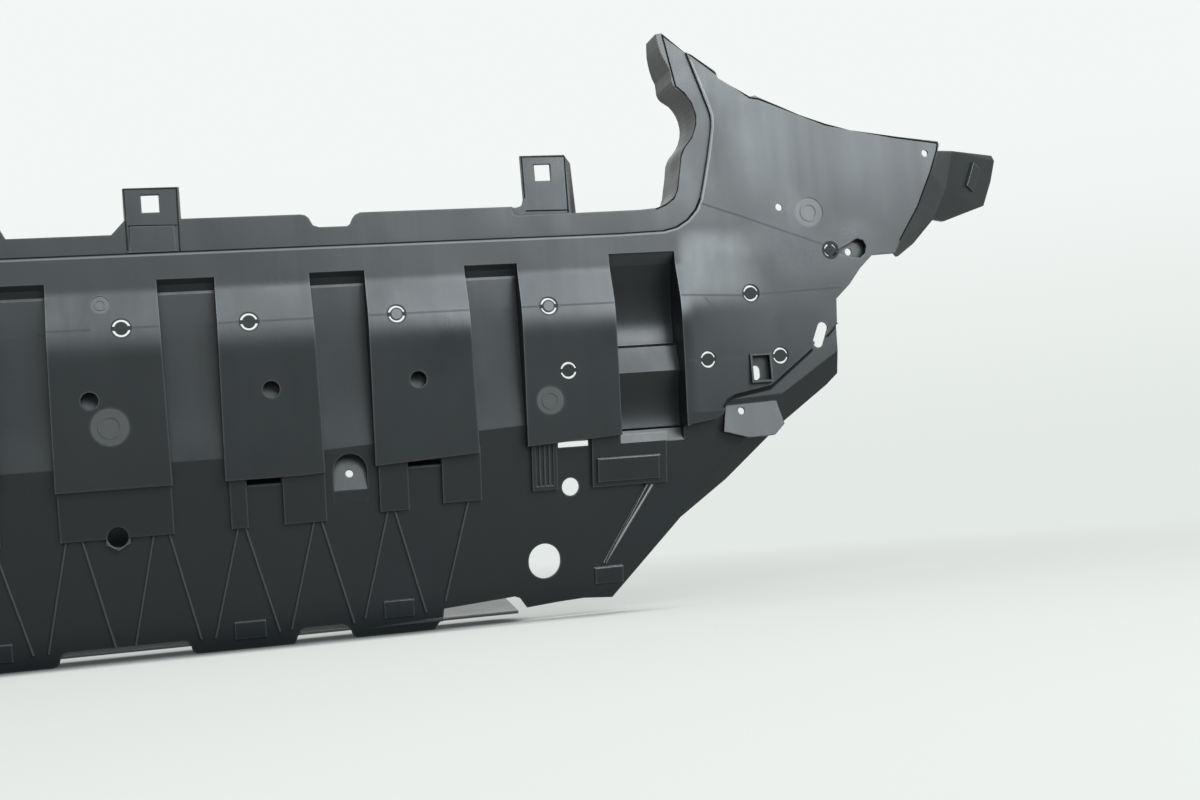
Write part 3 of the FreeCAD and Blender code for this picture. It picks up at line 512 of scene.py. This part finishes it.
@dataclass(frozen=True)
class SoftEdges:
    """Rounded look of moulded edges, and where the edges are.

    The rounded normal is the mean of the faces within the radius. An
    edge that stands out has little plastic behind it within the reach,
    and an inner corner has little open air in front of it.
    """

    samples: int = 4
    edge: Bend = Bend(0.90, 0.45)
    corner: Bend = Bend(0.85, 0.35)

    def build(self) -> bpy.types.NodeTree:
        """Makes the group.

        Returns:
            A group with the normal, an edge value and a corner value,
            both from 0 to 1.
        """
        group, tree = new_group(
            "soft_edges", {"Radius": 0.001, "Reach": 0.0015, "Depth": 0.006},
            {"Normal": VECTOR, "Edge": NUMBER, "Corner": NUMBER})
        given = tree.add("NodeGroupInput").outputs
        made = tree.add("NodeGroupOutput").inputs
        bevel = tree.add("ShaderNodeBevel", samples=self.samples)
        tree.join(given["Radius"], bevel.inputs["Radius"])
        tree.join(bevel.outputs["Normal"], made["Normal"])
        for reach, behind, step, result in (
                ("Reach", True, self.edge, "Edge"),
                ("Depth", False, self.corner, "Corner")):
            room = tree.add("ShaderNodeAmbientOcclusion",
                            samples=self.samples, inside=behind,
                            only_local=True)
            tree.join(given[reach], room.inputs["Distance"])
            tree.join(step.on(tree, room.outputs["AO"]), made[result])
        return group


@dataclass(frozen=True)
class DrawnLines:
    """Narrow lines on the faces that look forward.

    Each line is a run of straight pieces given in X and Z. The mask is
    1 within the core's share of the width and falls to 0 at the width.
    Mirrored lines are also drawn left of the middle.
    """

    name: str
    lines: tuple[Line, ...]
    width: float
    mirrored: bool = True
    core: float = 0.35
    forward: Bend = Bend(-0.6, -0.85)

    def build(self) -> bpy.types.NodeTree:
        """Makes the group.

        Returns:
            A group with the mask.
        """
        group, tree = new_group(self.name, {}, {"Mask": NUMBER})
        made = tree.add("NodeGroupOutput").inputs
        x, _, z = tree.parts(tree.place())
        across = tree.math(Op.ABSOLUTE, x) if self.mirrored else x
        spot = tree.whole(across, 0.0, z)
        nearest = tree.chain(Op.MINIMUM, [
            tree.gap_to(spot, start, end)
            for line in self.lines for start, end in zip(line, line[1:])])
        drawn = Bend(self.width, self.width * self.core).on(tree, nearest)
        facing = self.forward.on(tree, tree.face_normal()[1])
        tree.join(tree.math(Op.MULTIPLY, drawn, facing), made["Mask"])
        return group


@dataclass(frozen=True)
class DrawnDiscs:
    """Round patches that are seen from the front, at any depth."""

    name: str
    discs: tuple[Disc, ...]
    soft_rim: float = 0.0008

    def build(self) -> bpy.types.NodeTree:
        """Makes the group.

        Returns:
            A group with a mask that is 1 inside the patches.
        """
        group, tree = new_group(self.name, {}, {"Mask": NUMBER})
        made = tree.add("NodeGroupOutput").inputs
        x, _, z = tree.parts(tree.place())
        spot = tree.whole(x, 0.0, z)
        masks = []
        for middle_x, middle_z, radius in self.discs:
            gap = tree.vector(VectorOp.DISTANCE, spot,
                              (middle_x, 0.0, middle_z))
            masks.append(Bend(radius, radius - self.soft_rim).on(tree, gap))
        tree.join(tree.chain(Op.MAXIMUM, masks), made["Mask"])
        return group


@dataclass(frozen=True)
class LipTop:
    """Upper side of the lip behind the teeth.

    Its outer stretches are smooth and get a painted reflection in their colour, and its
    inner ones are dull.
    """

    low: Bend = Bend(0.034, 0.026)
    upward: Bend = Bend(0.35, 0.55)
    far: Bend = Bend(0.240, 0.268)

    def build(self) -> bpy.types.NodeTree:
        """Makes the group.

        Returns:
            A group with a mask of the outer stretches and one of the rest.
        """
        group, tree = new_group("lip_top", {},
                                {"Outer": NUMBER, "Inner": NUMBER})
        made = tree.add("NodeGroupOutput").inputs
        x, _, z = tree.parts(tree.place())
        top = tree.math(Op.MULTIPLY, self.low.on(tree, z),
                        self.upward.on(tree, tree.face_normal()[2]))
        far = self.far.on(tree, tree.math(Op.ABSOLUTE, x))
        outer = tree.math(Op.MULTIPLY, top, far)
        tree.join(outer, made["Outer"])
        tree.join(tree.math(Op.SUBTRACT, top, outer), made["Inner"])
        return group


@dataclass(frozen=True)
class FaceTurn:
    """Front faces whose normal gets a lean that depends on the place.

    A face is turned where its distance from the middle, its depth, its
    height and its own normal's X and Y lie in the ranges. Elsewhere the
    incoming normal is kept.
    """

    name: str
    about: str
    across: Range
    depth: Range
    height: Range
    face_x: Range = (-0.08, 0.08)
    face_y: Range = (-1.1, -0.93)

    def slope(self, tree: Tree, across: Socket, height: Socket) -> Term:
        """Lean of the faces, as the rise of their normal per unit forward.

        Args:
            tree: The group's tree.
            across: Distance from the middle.
            height: The height.

        Returns:
            The lean.
        """
        raise NotImplementedError

    def build(self) -> bpy.types.NodeTree:
        """Makes the group.

        Returns:
            A group that takes a normal and gives the turned one.
        """
        group, tree = new_group(self.name, {}, {"Normal": VECTOR})
        group.description = self.about
        group.interface.new_socket("Normal", in_out="INPUT",
                                   socket_type=VECTOR)
        given = tree.add("NodeGroupInput").outputs
        made = tree.add("NodeGroupOutput").inputs
        x, depth, height = tree.parts(tree.place())
        across = tree.math(Op.ABSOLUTE, x)
        face_x, face_y, _ = tree.face_normal()
        inside = tree.chain(Op.MULTIPLY, [
            tree.between(value, *limits) for value, limits in (
                (across, self.across), (depth, self.depth),
                (height, self.height), (face_x, self.face_x),
                (face_y, self.face_y))])
        leaning = tree.whole(0.0, -1.0, self.slope(tree, across, height))
        even = tree.vector(VectorOp.NORMALIZE, leaning)
        tree.join(tree.mix(Mix.NORMALS, inside, given["Normal"], even),
                  made["Normal"])
        return group


@dataclass(frozen=True)
class PanelTurn(FaceTurn):
    """Raised panels, and the wing beside them.

    Upright above the bulge, leaning up over its top, easing over to the
    lean of the lower part. Beside the pocket the bulge is flatter, and
    its lean fades out where the wing begins.
    """

    name: str = "smooth_bulge"
    about: str = "Turn of the panels over their bulge"
    across: Range = (-1.0, 0.66)
    depth: Range = (-0.060, -0.040)
    height: Range = (0.170, 0.338)
    face_x: Range = (-0.16, 0.16)
    rise: Bend = Bend(0.3055, 0.296, 0.0, 0.235)
    fall: Bend = Bend(0.278, 0.241, 0.0, -0.371)
    side_rise: Bend = Bend(0.338, 0.315, 0.0, 0.19)
    side_fall: Bend = Bend(0.288, 0.254, 0.0, -0.24)
    to_side: Bend = Bend(0.488, 0.505)
    wing_fall: Bend = Bend(0.275, 0.190, 0.0, -0.045)
    to_wing: Bend = Bend(0.515, 0.585)

    def slope(self, tree: Tree, across: Socket, height: Socket) -> Socket:
        """Lean of the panels: rise and fall, then the pocket's side, the wing.

        Args:
            tree: The group's tree.
            across: Distance from the middle.
            height: The height.

        Returns:
            The lean.
        """
        panel = tree.math(Op.ADD, self.rise.on(tree, height),
                          self.fall.on(tree, height))
        side = tree.math(Op.ADD, self.side_rise.on(tree, height),
                         self.side_fall.on(tree, height))
        panel = tree.fade(self.to_side.on(tree, across), panel, side)
        return tree.fade(self.to_wing.on(tree, across), panel,
                         self.wing_fall.on(tree, height))


@dataclass(frozen=True)
class ChannelTurn(FaceTurn):
    """Channels' floors, which look down a little in the middle."""

    name: str = "channel_floors"
    about: str = "Turn of the channels' floors"
    across: Range = (0.020, 0.430)
    depth: Range = (-0.040, -0.037)
    height: Range = (0.170, 0.300)
    fall: Bend = Bend(0.296, 0.255, 0.0, -0.035)
    end: Bend = Bend(0.215, 0.172, 0.0, 0.035)

    def slope(self, tree: Tree, across: Socket, height: Socket) -> Socket:
        """Returns the lean of the floors, from the height alone."""
        return tree.math(Op.ADD, self.fall.on(tree, height),
                         self.end.on(tree, height))


@dataclass(frozen=True)
class WingTurn(FaceTurn):
    """Wing, which leans up a little toward its top."""

    name: str = "wing_rise"
    about: str = "Turn of the wing toward its top"
    across: Range = (0.530, 0.900)
    depth: Range = (-0.056, -0.044)
    height: Range = (0.335, 0.520)
    rise: Bend = Bend(0.335, 0.410, 0.0, 0.075)
    inner_edge: Bend = Bend(0.535, 0.575)

    def slope(self, tree: Tree, across: Socket, height: Socket) -> Socket:
        """Returns the lean of the wing, which starts at its inner edge."""
        return tree.math(Op.MULTIPLY, self.rise.on(tree, height),
                         self.inner_edge.on(tree, across))


@dataclass(frozen=True)
class PocketTurn(FaceTurn):
    """Inside of the pocket.

    Each scoop runs back at its top and comes forward at its foot. The
    shelf between them and the foot of the pocket lean up to the light.
    Each stretch is a start and an end height with its own lean.
    """

    name: str = "pocket_scoops"
    about: str = "Hollow curves inside the pocket"
    across: Range = (0.4295, 0.4890)
    depth: Range = (-0.050, 0.020)
    height: Range = (0.148, 0.314)
    face_y: Range = (-1.1, -0.20)
    upper_scoop: Bend = Bend(0.290, 0.238, -0.60, 0.11)
    lower_scoop: Bend = Bend(0.196, 0.158, -0.45, 0.06)
    lower_stretch: Range = (0.1610, 0.2098)
    flats: tuple[tuple[float, float, float], ...] = (
        (0.2098, 0.2325, 0.07), (0.2325, 0.2350, -0.90),
        (0.1592, 0.1612, -0.90), (0.1400, 0.1592, 0.25))

    def slope(self, tree: Tree, across: Socket, height: Socket) -> Socket:
        """Lean inside the pocket: the upper scoop, then each stretch's own.

        Args:
            tree: The group's tree.
            across: Distance from the middle, which changes nothing here.
            height: The height.

        Returns:
            The lean.
        """
        lean = self.upper_scoop.on(tree, height)
        stretches = ((*self.lower_stretch,
                      self.lower_scoop.on(tree, height)), *self.flats)
        for low, high, own in stretches:
            lean = tree.fade(tree.between(height, low, high), lean, own)
        return lean


# Lines on the moulding, X from the middle and Z, in metres

DISC_ROW = 0.2704
STEP_TOP = 0.3322
RIM_TOP = 0.3303

CREASES = (
    ((0.5174, 0.3568), (0.5572, 0.3426), (0.6332, 0.3139)),
    ((0.4911, 0.2740), (0.5494, 0.2716), (0.6434, 0.2743)),
    ((0.5131, 0.2705), (0.5551, 0.2224)),
    ((0.4931, 0.2161), (0.5530, 0.2154)),
    ((0.1690, 0.3330), (0.1690, 0.3585)),
    ((0.0100, DISC_ROW), (0.4280, DISC_ROW)),
)
GROOVES = (
    ((0.5260, 0.1738), (0.5300, 0.1790), (0.5375, 0.1826),
     (0.5720, 0.1882), (0.6150, 0.2200)),
    ((0.6325, 0.2330), (0.6405, 0.2410)),
)
STEPS = (
    ((0.0, STEP_TOP), (0.4400, STEP_TOP), (0.4818, 0.3332),
     (0.4942, 0.3360), (0.5050, 0.3422), (0.5138, 0.3512),
     (0.5187, 0.3608)),
    ((0.4970, 0.5110), (0.5010, 0.4890), (0.5055, 0.4640),
     (0.5130, 0.4575), (0.5190, 0.4480), (0.5218, 0.4375),
     (0.5210, 0.4280), (0.5160, 0.4165), (0.5085, 0.4080),
     (0.5045, 0.4000), (0.4985, 0.3700), (0.4945, 0.3622),
     (0.4862, 0.3566), (0.4775, 0.3534)),
    ((0.4970, 0.5110), (0.5205, 0.4924), (0.5422, 0.4754),
     (0.5737, 0.4517), (0.5830, 0.4500), (0.6450, 0.4250),
     (0.7130, 0.4113), (0.7555, 0.4050), (0.7540, 0.3980),
     (0.7450, 0.3770), (0.7293, 0.3460), (0.7082, 0.3155)),
)
HIGH_TAB_LINES = (
    ((0.3583, 0.4041), (0.3977, 0.4036)),
    ((0.3591, 0.4034), (0.3591, 0.3679)),
    ((0.3977, 0.4028), (0.3971, 0.3539)),
    ((0.3596, 0.3562), (0.3974, 0.3557)),
    ((0.3693, 0.3965), (0.3840, 0.3965)),
    ((0.3841, 0.3965), (0.3834, 0.3822)),
)
LOW_TAB_LINES = (
    ((0.0222, 0.3859), (0.0652, 0.3853)),
    ((0.0227, 0.3861), (0.0230, 0.3355)),
    ((0.0650, 0.3855), (0.0642, 0.3337)),
    ((0.0245, 0.3552), (0.0631, 0.3546)),
    ((0.0361, 0.3805), (0.0505, 0.3805)),
)
GLINTS = (
    ((0.4579, 0.1095), (0.4138, 0.0450)),
    ((0.4528, 0.1099), (0.4131, 0.0450)),
    ((0.4086, 0.1360), (0.4649, 0.1357)),
    ((0.4042, 0.0403), (0.4292, 0.0406)),
)
# Painted highlight: light lines under the step and up the wing's inner edge.
RIM_HIGHLIGHTS = (
    ((0.0, RIM_TOP), (0.4400, RIM_TOP), (0.4822, 0.3313), (0.4950, 0.3342),
     (0.5063, 0.3407), (0.5154, 0.3502), (0.5205, 0.3602),
     (0.5263, 0.3810), (0.5328, 0.4064), (0.5370, 0.4262),
     (0.5373, 0.4365), (0.5346, 0.4471), (0.5294, 0.4633),
     (0.5215, 0.4868)),
)
DRAWN_LINES = (
    DrawnLines("creases", CREASES, width=0.0013),
    DrawnLines("grooves", GROOVES, width=0.0026),
    DrawnLines("steps", STEPS, width=0.0010),
    DrawnLines("high_tabs", HIGH_TAB_LINES, width=0.0008),
    DrawnLines("low_tab", LOW_TAB_LINES, width=0.0008, mirrored=False),
    DrawnLines("glints", GLINTS, width=0.0011),
    DrawnLines("rim_highlights", RIM_HIGHLIGHTS, width=0.0011),
)


# Round marks, knock-out discs and blind holes: X, Z and radius, in metres

def both_sides(radius: float, *middles: tuple[float, float]) -> tuple[Disc, ...]:
    """Repeats discs of one radius on the left side.

    Args:
        radius: The discs' radius.
        middles: X and Z of each disc on the right side.

    Returns:
        The discs of both sides.
    """
    return tuple((side * x, z, radius)
                 for side in (-1.0, 1.0) for x, z in middles)


DISC_RIM_RADIUS = 0.0088
BLIND_HOLE_RADIUS = 0.0069
DRAWN_DISCS = (
    # Round mould stamps, made lighter by a painted sheen.
    DrawnDiscs("round_marks", (
        (0.0001, 0.1916, 0.0156), (-0.0016, 0.2908, 0.0076),
        *both_sides(0.0124, (0.3664, 0.1894)),
        *both_sides(0.0136, (0.6211, 0.3447)))),
    # Knock-out discs that take a painted highlight.
    DrawnDiscs("discs", both_sides(
        0.0048, (0.2378, DISC_ROW), (0.3698, DISC_ROW))),
    # Rings round the knock-outs and holes: painted shade in their gaps, and dull.
    DrawnDiscs("disc_rims", (
        *both_sides(DISC_RIM_RADIUS,
                    (0.1154, DISC_ROW), (0.2378, DISC_ROW),
                    (0.3698, DISC_ROW), (0.3837, 0.2140),
                    (0.5582, 0.2733), (0.5121, 0.2160),
                    (0.5822, 0.2159), (0.6386, 0.3089)),
        (0.0139, DISC_ROW, DISC_RIM_RADIUS))),
    # Blind holes, lightened by painted light on their backs.
    DrawnDiscs("blind_holes", (
        (-0.0145, 0.2133, BLIND_HOLE_RADIUS),
        *both_sides(BLIND_HOLE_RADIUS, (0.1298, 0.2137),
                    (0.2526, 0.2144)))),
    # Painted shade inside the pad's round opening.
    DrawnDiscs("dark_holes", ((0.0, 0.1025, 0.0085),)),
)


# Finishes

@dataclass(frozen=True)
class PlasticMarks:
    """Groups that are placed in the plastic's material."""

    flow: bpy.types.Node
    edges: bpy.types.Node
    lip: bpy.types.Node
    lines: dict[str, Socket]
    discs: dict[str, Socket]


@dataclass(frozen=True)
class MouldedPlastic:
    """Satin black polypropylene of the whole guard.

    Colours are linear. The radius, reach, depth and bump height are in
    metres.
    """

    name: str = "moulded_plastic"
    dark: Colour = (0.0020, 0.0033, 0.0042)
    light: Colour = (0.0060, 0.0080, 0.0094)
    # painted highlight on outer edges
    edge: Colour = (0.045, 0.047, 0.049)
    # painted highlight under the step
    rim_highlight: Colour = (0.086, 0.088, 0.090)
    # painted sheen on the round stamps
    mark_sheen: Colour = (0.041, 0.042, 0.043)
    # painted highlight on knock-out discs
    disc_highlight: Colour = (0.104, 0.104, 0.105)
    glint: Colour = (0.185, 0.180, 0.180)
    # painted reflection on the outer lip's top
    lip: Colour = (0.050, 0.050, 0.050)
    # painted light lifting the backs of blind holes
    hole_highlight: Colour = (0.050, 0.052, 0.054)
    rough: Bend = Bend(-0.3, 0.6, 0.44, 0.22)
    rough_corner: float = 0.75
    rough_lip: float = 0.10
    crease_dull: float = 0.4
    index: float = 1.41
    edge_radius: float = 0.0014
    edge_reach: float = 0.0016
    corner_depth: float = 0.006
    streaks: float = 0.6
    smudges: float = 1.3
    grain: float = 0.012
    waves: float = 0.25
    clouds: float = 2.5
    bump_strength: float = 1.0
    bump_height: float = 0.001
    groove_normal: Point = (0.0, -0.55, -0.83)
    faint_groove: float = 0.75
    lines: tuple[DrawnLines, ...] = DRAWN_LINES
    discs: tuple[DrawnDiscs, ...] = DRAWN_DISCS
    turns: tuple[FaceTurn, ...] = (PanelTurn(), ChannelTurn(), WingTurn(),
                                   PocketTurn())

    def build(self) -> bpy.types.Material:
        """Makes the material.

        Returns:
            The finished material.
        """
        material, tree = new_material(self.name)
        marks = self.place_marks(tree)
        shader = tree.add("ShaderNodeBsdfPrincipled")
        tree.join(self.colour(tree, marks), shader.inputs["Base Color"])
        tree.join(self.roughness(tree, marks), shader.inputs["Roughness"])
        shader.inputs["IOR"].default_value = self.index
        tree.join(self.normal(tree, marks), shader.inputs["Normal"])
        end = tree.add("ShaderNodeOutputMaterial")
        tree.join(shader.outputs["BSDF"], end.inputs["Surface"])
        return material

    def place_marks(self, tree: Tree) -> PlasticMarks:
        """Places the groups that the colour, roughness and normal read.

        Args:
            tree: The material's tree.

        Returns:
            The groups.
        """
        return PlasticMarks(
            flow=tree.group(FlowMarks().build(), Streaks=self.streaks,
                            Smudges=self.smudges, Grain=self.grain,
                            Waves=self.waves, Clouds=self.clouds),
            edges=tree.group(SoftEdges().build(), Radius=self.edge_radius,
                             Reach=self.edge_reach,
                             Depth=self.corner_depth),
            lip=tree.group(LipTop().build()),
            lines={drawn.name: tree.group(drawn.build()).outputs["Mask"]
                   for drawn in self.lines},
            discs={drawn.name: tree.group(drawn.build()).outputs["Mask"]
                   for drawn in self.discs})

    def colour(self, tree: Tree, marks: PlasticMarks) -> Socket:
        """Blends painted highlights and painted shade over the flow's shade, one after
        another.

        Args:
            tree: The material's tree.
            marks: The placed groups.

        Returns:
            The base colour.
        """
        body = tree.blend(marks.flow.outputs["Shade"], self.dark, self.light)
        for mask, tone in ((marks.lines["rim_highlights"], self.rim_highlight),
                           (marks.lines["glints"], self.glint),
                           (marks.edges.outputs["Edge"], self.edge),
                           # painted shade in inner corners
                           (marks.edges.outputs["Corner"], self.dark),
                           (marks.lip.outputs["Outer"], self.lip),
                           (marks.discs["round_marks"], self.mark_sheen),
                           (marks.discs["disc_rims"], self.dark),
                           (marks.discs["dark_holes"], self.dark),
                           (marks.discs["discs"], self.disc_highlight),
                           (marks.discs["blind_holes"], self.hole_highlight)):
            body = tree.blend(mask, body, tone)
        return body

    def roughness(self, tree: Tree, marks: PlasticMarks) -> Socket:
        """Dulls the corners, creases and discs, and smooths the outer lip.

        Args:
            tree: The material's tree.
            marks: The placed groups.

        Returns:
            The roughness.
        """
        rough = self.rough.on(tree, marks.flow.outputs["Gloss"])
        creases = tree.math(Op.MULTIPLY, marks.lines["creases"],
                            self.crease_dull)
        dull = tree.chain(Op.MAXIMUM, [
            marks.edges.outputs["Corner"], creases,
            marks.discs["disc_rims"], marks.lip.outputs["Inner"]])
        rough = tree.fade(dull, rough, self.rough_corner)
        return tree.fade(marks.lip.outputs["Outer"], rough, self.rough_lip)

    def normal(self, tree: Tree, marks: PlasticMarks) -> Socket:
        """Rounds the edges, turns the curved faces and sinks the lines.

        Args:
            tree: The material's tree.
            marks: The placed groups.

        Returns:
            The normal, with the flow's bump on it.
        """
        normal = marks.edges.outputs["Normal"]
        for turn in self.turns:
            turned = tree.group(turn.build())
            tree.join(normal, turned.inputs["Normal"])
            normal = turned.outputs["Normal"]
        faint = tree.chain(Op.MAXIMUM, [
            marks.lines["high_tabs"], marks.lines["low_tab"],
            marks.discs["dark_holes"]])
        sunk = tree.chain(Op.MAXIMUM, [
            marks.lines["grooves"], marks.lines["steps"],
            tree.math(Op.MULTIPLY, faint, self.faint_groove)])
        normal = tree.mix(Mix.NORMALS, sunk, normal, self.groove_normal)
        bump = tree.bump(marks.flow.outputs["Height"], self.bump_strength,
                         self.bump_height)
        tree.join(normal, bump.inputs["Normal"])
        return bump.outputs["Normal"]


# Colour low behind the guard, which the far end of the floor also has

HAZE = (0.775, 0.815, 0.790)


@dataclass(frozen=True)
class FloorCloth:
    """Pale cloth that the guard stands on, with slow folds."""

    name: str = "floor_cloth"
    weave: Colour = (0.450, 0.425, 0.400)
    near: Colour = (0.815, 0.858, 0.833)
    far: Colour = HAZE
    # painted shadow where the guard stands close above the cloth
    contact_shadow: Colour = (0.110, 0.116, 0.114)
    contact_reach: float = 0.06
    contact_samples: int = 6
    closeness: Bend = Bend(1.0, 0.50)
    lit_share: float = 0.45
    fade: Bend = Bend(0.5, 2.0)
    rough: float = 0.9
    index: float = 1.2
    folds: Noise = Noise(1.6, 3.0)
    fold_strength: float = 0.08
    fold_height: float = 0.05

    def build(self) -> bpy.types.Material:
        """Makes the material.

        Near the guard the cloth takes light and shadow. Further off it
        fades into the colour behind it, so no line shows where it ends.
        A painted shadow darkens it where the guard stands close above it.

        Returns:
            The finished material.
        """
        material, tree = new_material(self.name)
        place = tree.place()
        shader = tree.add("ShaderNodeBsdfPrincipled")
        shader.inputs["Roughness"].default_value = self.rough
        shader.inputs["IOR"].default_value = self.index
        bump = tree.bump(self.folds.on(tree, place), self.fold_strength,
                         self.fold_height)
        tree.join(bump.outputs["Normal"], shader.inputs["Normal"])
        fade = self.fade.on(tree, tree.vector(VectorOp.LENGTH, place))
        open_air = tree.add("ShaderNodeAmbientOcclusion",
                            samples=self.contact_samples)
        open_air.inputs["Distance"].default_value = self.contact_reach
        close = self.closeness.on(tree, open_air.outputs["AO"])
        pale = tree.blend(fade, self.near, self.far)
        glow = tree.add("ShaderNodeEmission")
        tree.join(tree.blend(close, pale, self.contact_shadow),
                  glow.inputs["Color"])
        tree.join(tree.blend(close, self.weave, self.contact_shadow),
                  shader.inputs["Base Color"])
        glow_share = tree.math(Op.MULTIPLY_ADD, fade, self.lit_share,
                               1.0 - self.lit_share)
        end = tree.add("ShaderNodeOutputMaterial")
        tree.join(tree.mix_shaders(glow_share, shader.outputs["BSDF"],
                                   glow.outputs["Emission"]),
                  end.inputs["Surface"])
        return material


# Meshes

def grid_mesh(name: str, points: np.ndarray) -> bpy.types.Object:
    """Makes a surface from a grid of points.

    Each face joins a point to the next one in its row and to the two
    beside them in the next row.

    Args:
        name: The object's name.
        points: Array of rows, columns and the three coordinates.

    Returns:
        The new object, with smooth faces.
    """
    rows, columns = points.shape[:2]
    index = np.arange(rows * columns).reshape(rows, columns)
    quads = np.stack((index[:-1, :-1], index[:-1, 1:],
                      index[1:, 1:], index[1:, :-1]), axis=-1).reshape(-1, 4)
    mesh = bpy.data.meshes.new(name)
    mesh.from_pydata(points.reshape(-1, 3).tolist(), [], quads.tolist())
    mesh.polygons.foreach_set("use_smooth", np.ones(len(quads), bool))
    mesh.update()
    piece = bpy.data.objects.new(name, mesh)
    bpy.context.scene.collection.objects.link(piece)
    return piece


# The scene's parts

@dataclass(frozen=True)
class Lamp:
    """One soft lamp of the studio."""

    name: str
    place: Point
    target: Point
    size: tuple[float, float]
    watts: float
    tint: Colour = (0.88, 0.97, 1.0)

    def build(self) -> bpy.types.Object:
        """Makes the lamp, turned toward its target.

        Returns:
            The lamp object.
        """
        data = bpy.data.lights.new(self.name, "AREA")
        data.shape = "RECTANGLE"
        data.size, data.size_y = self.size
        data.energy = self.watts
        data.color = self.tint
        lamp = bpy.data.objects.new(self.name, data)
        bpy.context.scene.collection.objects.link(lamp)
        aim = Vector(self.target) - Vector(self.place)
        lamp.location = self.place
        lamp.rotation_mode = "QUATERNION"
        lamp.rotation_quaternion = aim.to_track_quat("-Z", "Y")
        return lamp


LAMPS = (
    Lamp("front_high_lamp", (0.85, -1.95, 1.75), (0.35, 0.0, 0.25),
         (2.4, 1.0), 67.0),
    Lamp("ceiling_lamp", (0.3, -0.4, 2.5), (0.3, -0.1, 0.2),
         (2.2, 1.8), 41.0),
    Lamp("right_lamp", (1.75, -2.4, 1.25), (0.5, 0.0, 0.3),
         (2.0, 1.1), 86.0),
    Lamp("front_lamp", (-0.3, -3.2, 1.05), (0.2, 0.0, 0.25),
         (2.6, 0.9), 17.5),
)


@dataclass(frozen=True)
class Studio:
    """Camera, floor, lamps and the pale surroundings."""

    camera_place: Point = (0.03774, -1.44993, 0.08932)
    camera_right: Point = (0.96431, -0.25065, -0.08526)
    camera_up: Point = (0.06541, -0.08648, 0.99410)
    camera_forward: Point = (0.25654, 0.96420, 0.0670)
    lens_mm: float = 50.0
    sensor_mm: float = 36.0
    clip_start: float = 0.05
    clip_end: float = 60.0
    floor_half: float = 9.0
    floor_points: int = 60
    cloth: FloorCloth = FloorCloth()
    sky_low: Colour = HAZE
    sky_high: Colour = (0.895, 0.932, 0.918)
    sky_rise: Bend = Bend(0.0, 0.22)
    ambient: float = 0.10
    lamps: tuple[Lamp, ...] = LAMPS

    def build(self) -> None:
        """Makes everything that isn't part of the guard."""
        self.camera()
        self.floor()
        self.world()
        for lamp in self.lamps:
            lamp.build()
            log.info("%s ready", lamp.name)
        bpy.context.scene.view_settings.view_transform = "Standard"

    def camera(self) -> None:
        """Sets the camera at the photograph's viewing angle."""
        data = bpy.data.cameras.new("camera")
        data.lens = self.lens_mm
        data.sensor_width = self.sensor_mm
        data.clip_start = self.clip_start
        data.clip_end = self.clip_end
        camera = bpy.data.objects.new("camera", data)
        bpy.context.scene.collection.objects.link(camera)
        back = Vector(self.camera_forward) * -1.0
        turn = Matrix((self.camera_right, self.camera_up, back)).transposed()
        camera.matrix_world = (Matrix.Translation(self.camera_place)
                               @ turn.to_4x4())
        bpy.context.scene.camera = camera

    def floor(self) -> None:
        """Makes the flat floor that the guard's teeth stand on."""
        line = np.linspace(-self.floor_half, self.floor_half,
                           self.floor_points)
        x, y = np.meshgrid(line, line)
        points = np.stack((x, y, np.full_like(x, CAD_BOX[0].z)), axis=-1)
        piece = grid_mesh("floor", points)
        piece.data.materials.append(self.cloth.build())
        log.info("%s has %d faces", piece.name, len(piece.data.polygons))

    def world(self) -> None:
        """Makes the surroundings: pale to look at, and a soft light."""
        world = bpy.data.worlds.new("surroundings")
        bpy.context.scene.world = world
        world.use_nodes = True
        world.node_tree.nodes.clear()
        tree = Tree(world.node_tree)
        path = tree.add("ShaderNodeLightPath")
        upward = tree.add("ShaderNodeTexCoord").outputs["Generated"]
        pale = tree.blend(self.sky_rise.on(tree, tree.parts(upward)[2]),
                          self.sky_low, self.sky_high)
        shown = tree.add("ShaderNodeBackground")
        tree.join(pale, shown.inputs["Color"])
        light = tree.add("ShaderNodeBackground")
        tree.join(pale, light.inputs["Color"])
        light.inputs["Strength"].default_value = self.ambient
        seen = tree.math(Op.MAXIMUM, path.outputs["Is Camera Ray"],
                         path.outputs["Is Glossy Ray"])
        end = tree.add("ShaderNodeOutputWorld")
        tree.join(tree.mix_shaders(seen, light.outputs["Background"],
                                   shown.outputs["Background"]),
                  end.inputs["Surface"])


@dataclass(frozen=True)
class GuardPanel:
    """The moulding itself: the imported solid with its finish."""

    finish: MouldedPlastic = MouldedPlastic()

    def build(self) -> bpy.types.Object:
        """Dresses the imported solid.

        Returns:
            The solid's object.
        """
        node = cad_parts[GUARD_NODE]
        material = self.finish.build()
        for slot in node.material_slots:
            slot.material = material
        return node


def main() -> None:
    """Builds the studio and the guard in order and reports each piece."""
    logging.basicConfig(level=logging.INFO, format="%(name)s: %(message)s")
    Studio().build()
    log.info("studio ready")
    piece = GuardPanel().build()
    log.info("%s has %d faces", piece.name, len(piece.data.polygons))


if __name__ == "__main__":
    main()
